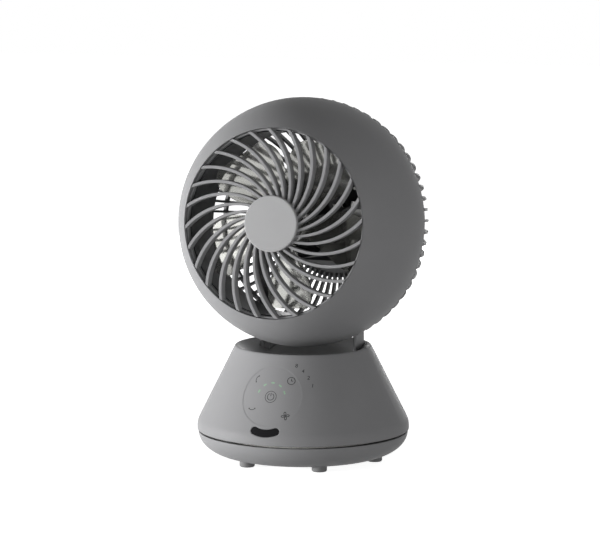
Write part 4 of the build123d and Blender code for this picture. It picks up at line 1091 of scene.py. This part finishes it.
def build_floor(colour):
    """Large pale floor: white far out, and near the object just dark enough to show its shadow."""
    mesh = bpy.data.meshes.new("floor")
    depth = CAD_BOX[0].z - FLOOR_DROP
    corners = [(x * FLOOR_HALF, y * FLOOR_HALF, depth) for x, y in ((-1, -1), (1, -1), (1, 1), (-1, 1))]
    mesh.from_pydata(corners, [], [(0, 1, 2, 3)])
    finish = Finish("pale_floor")
    finish.plain(Base_Color=(*colour, 1), Roughness=0.9, Specular_IOR_Level=0.0, Emission_Color=WHITE)
    tree = finish.tree
    place = tree.nodes.new("ShaderNodeTexCoord")
    distance = tree.nodes.new("ShaderNodeVectorMath")
    distance.operation = "LENGTH"
    fade = tree.nodes.new("ShaderNodeMapRange")
    fade.inputs["From Min"].default_value = 0.1
    fade.inputs["From Max"].default_value = 0.5
    fade.inputs["To Min"].default_value = 0.9
    level = calculated(tree, "MULTIPLY", fade.outputs["Result"], seen_directly(tree))
    link(
        tree,
        (place.outputs["Object"], distance.inputs[0]),
        (distance.outputs["Value"], fade.inputs["Value"]),
        (level, finish.shader.inputs["Emission Strength"]),
    )
    mesh.materials.append(finish.material)
    floor = bpy.data.objects.new("floor", mesh)
    bpy.context.scene.collection.objects.link(floor)


def build_world(ambient):
    """White to the camera and to reflections, and a low even light on everything else."""
    world = bpy.data.worlds.new("studio")
    bpy.context.scene.world = world
    world.use_nodes = True
    tree = world.node_tree
    background = tree.nodes["Background"]
    background.inputs["Color"].default_value = WHITE
    level = tree.nodes.new("ShaderNodeMapRange")
    level.inputs["To Min"].default_value = ambient
    link(
        tree,
        (seen_directly(tree), level.inputs["Value"]),
        (level.outputs["Result"], background.inputs["Strength"]),
    )


def build_camera(studio):
    data = bpy.data.cameras.new("camera")
    data.lens = studio.lens
    data.sensor_width = SENSOR_WIDTH
    camera = bpy.data.objects.new("camera", data)
    camera.location = studio.place
    camera.rotation_euler = (pi / 2 - studio.pitch, 0, studio.azimuth)
    bpy.context.scene.collection.objects.link(camera)
    bpy.context.scene.camera = camera


def build_studio(studio):
    """Floor, world, camera and lamps."""
    bpy.context.scene.view_settings.view_transform = "Standard"
    build_floor(studio.floor)
    build_world(studio.ambient)
    build_camera(studio)
    build_lamps(studio)


# Operators, panel and registration


class CIRCULATOR_OT_finishes(bpy.types.Operator):
    """Give every node of the frame its finish."""

    bl_idname = "circulator.finishes"
    bl_label = "Finishes"

    def execute(self, context):
        dress_nodes(context.scene.circulator_finish)
        return {"FINISHED"}


class CIRCULATOR_OT_panel_marks(bpy.types.Operator):
    """Print the icons and timer numbers on the touch panel."""

    bl_idname = "circulator.panel_marks"
    bl_label = "Panel marks"

    def execute(self, context):
        print_panel(context.scene.circulator_panel)
        return {"FINISHED"}


class CIRCULATOR_OT_light_dashes(bpy.types.Operator):
    """Lay the dashes of light round the power key."""

    bl_idname = "circulator.light_dashes"
    bl_label = "Light dashes"

    def execute(self, context):
        light_panel(context.scene.circulator_panel)
        return {"FINISHED"}


class CIRCULATOR_OT_screws(bpy.types.Operator):
    """Replace the plain screws with cross-drive screws."""

    bl_idname = "circulator.screws"
    bl_label = "Screws"

    def execute(self, context):
        drive_screws(context.scene.circulator_screws)
        return {"FINISHED"}


class CIRCULATOR_OT_studio(bpy.types.Operator):
    """Set up the floor, the lamps and the camera."""

    bl_idname = "circulator.studio"
    bl_label = "Studio"

    def execute(self, context):
        build_studio(context.scene.circulator_studio)
        return {"FINISHED"}


OPERATORS = (
    CIRCULATOR_OT_finishes,
    CIRCULATOR_OT_panel_marks,
    CIRCULATOR_OT_light_dashes,
    CIRCULATOR_OT_screws,
    CIRCULATOR_OT_studio,
)
SETTINGS = {
    "circulator_finish": CirculatorFinish,
    "circulator_panel": CirculatorPanel,
    "circulator_screws": CirculatorScrews,
    "circulator_studio": CirculatorStudio,
}


class CIRCULATOR_PT_sidebar(bpy.types.Panel):
    """Lists the circulator's operators and settings."""

    bl_idname = "CIRCULATOR_PT_sidebar"
    bl_label = "Circulator"
    bl_space_type = "VIEW_3D"
    bl_region_type = "UI"
    bl_category = "Circulator"

    def draw(self, context):
        for operator in OPERATORS:
            self.layout.operator(operator.bl_idname)
        for name, group in SETTINGS.items():
            box = self.layout.box()
            for label in group.__annotations__:
                box.prop(getattr(context.scene, name), label)


def register():
    for group in SETTINGS.values():
        bpy.utils.register_class(group)
    for name, group in SETTINGS.items():
        setattr(bpy.types.Scene, name, PointerProperty(type=group))
    for operator in OPERATORS:
        bpy.utils.register_class(operator)
    bpy.utils.register_class(CIRCULATOR_PT_sidebar)


def unregister():
    bpy.utils.unregister_class(CIRCULATOR_PT_sidebar)
    for operator in reversed(OPERATORS):
        bpy.utils.unregister_class(operator)
    for name in SETTINGS:
        delattr(bpy.types.Scene, name)
    for group in reversed(SETTINGS.values()):
        bpy.utils.unregister_class(group)


def main():
    register()
    bpy.ops.circulator.finishes()
    bpy.ops.circulator.panel_marks()
    bpy.ops.circulator.light_dashes()
    bpy.ops.circulator.screws()
    bpy.ops.circulator.studio()


if __name__ == "__main__":
    main()
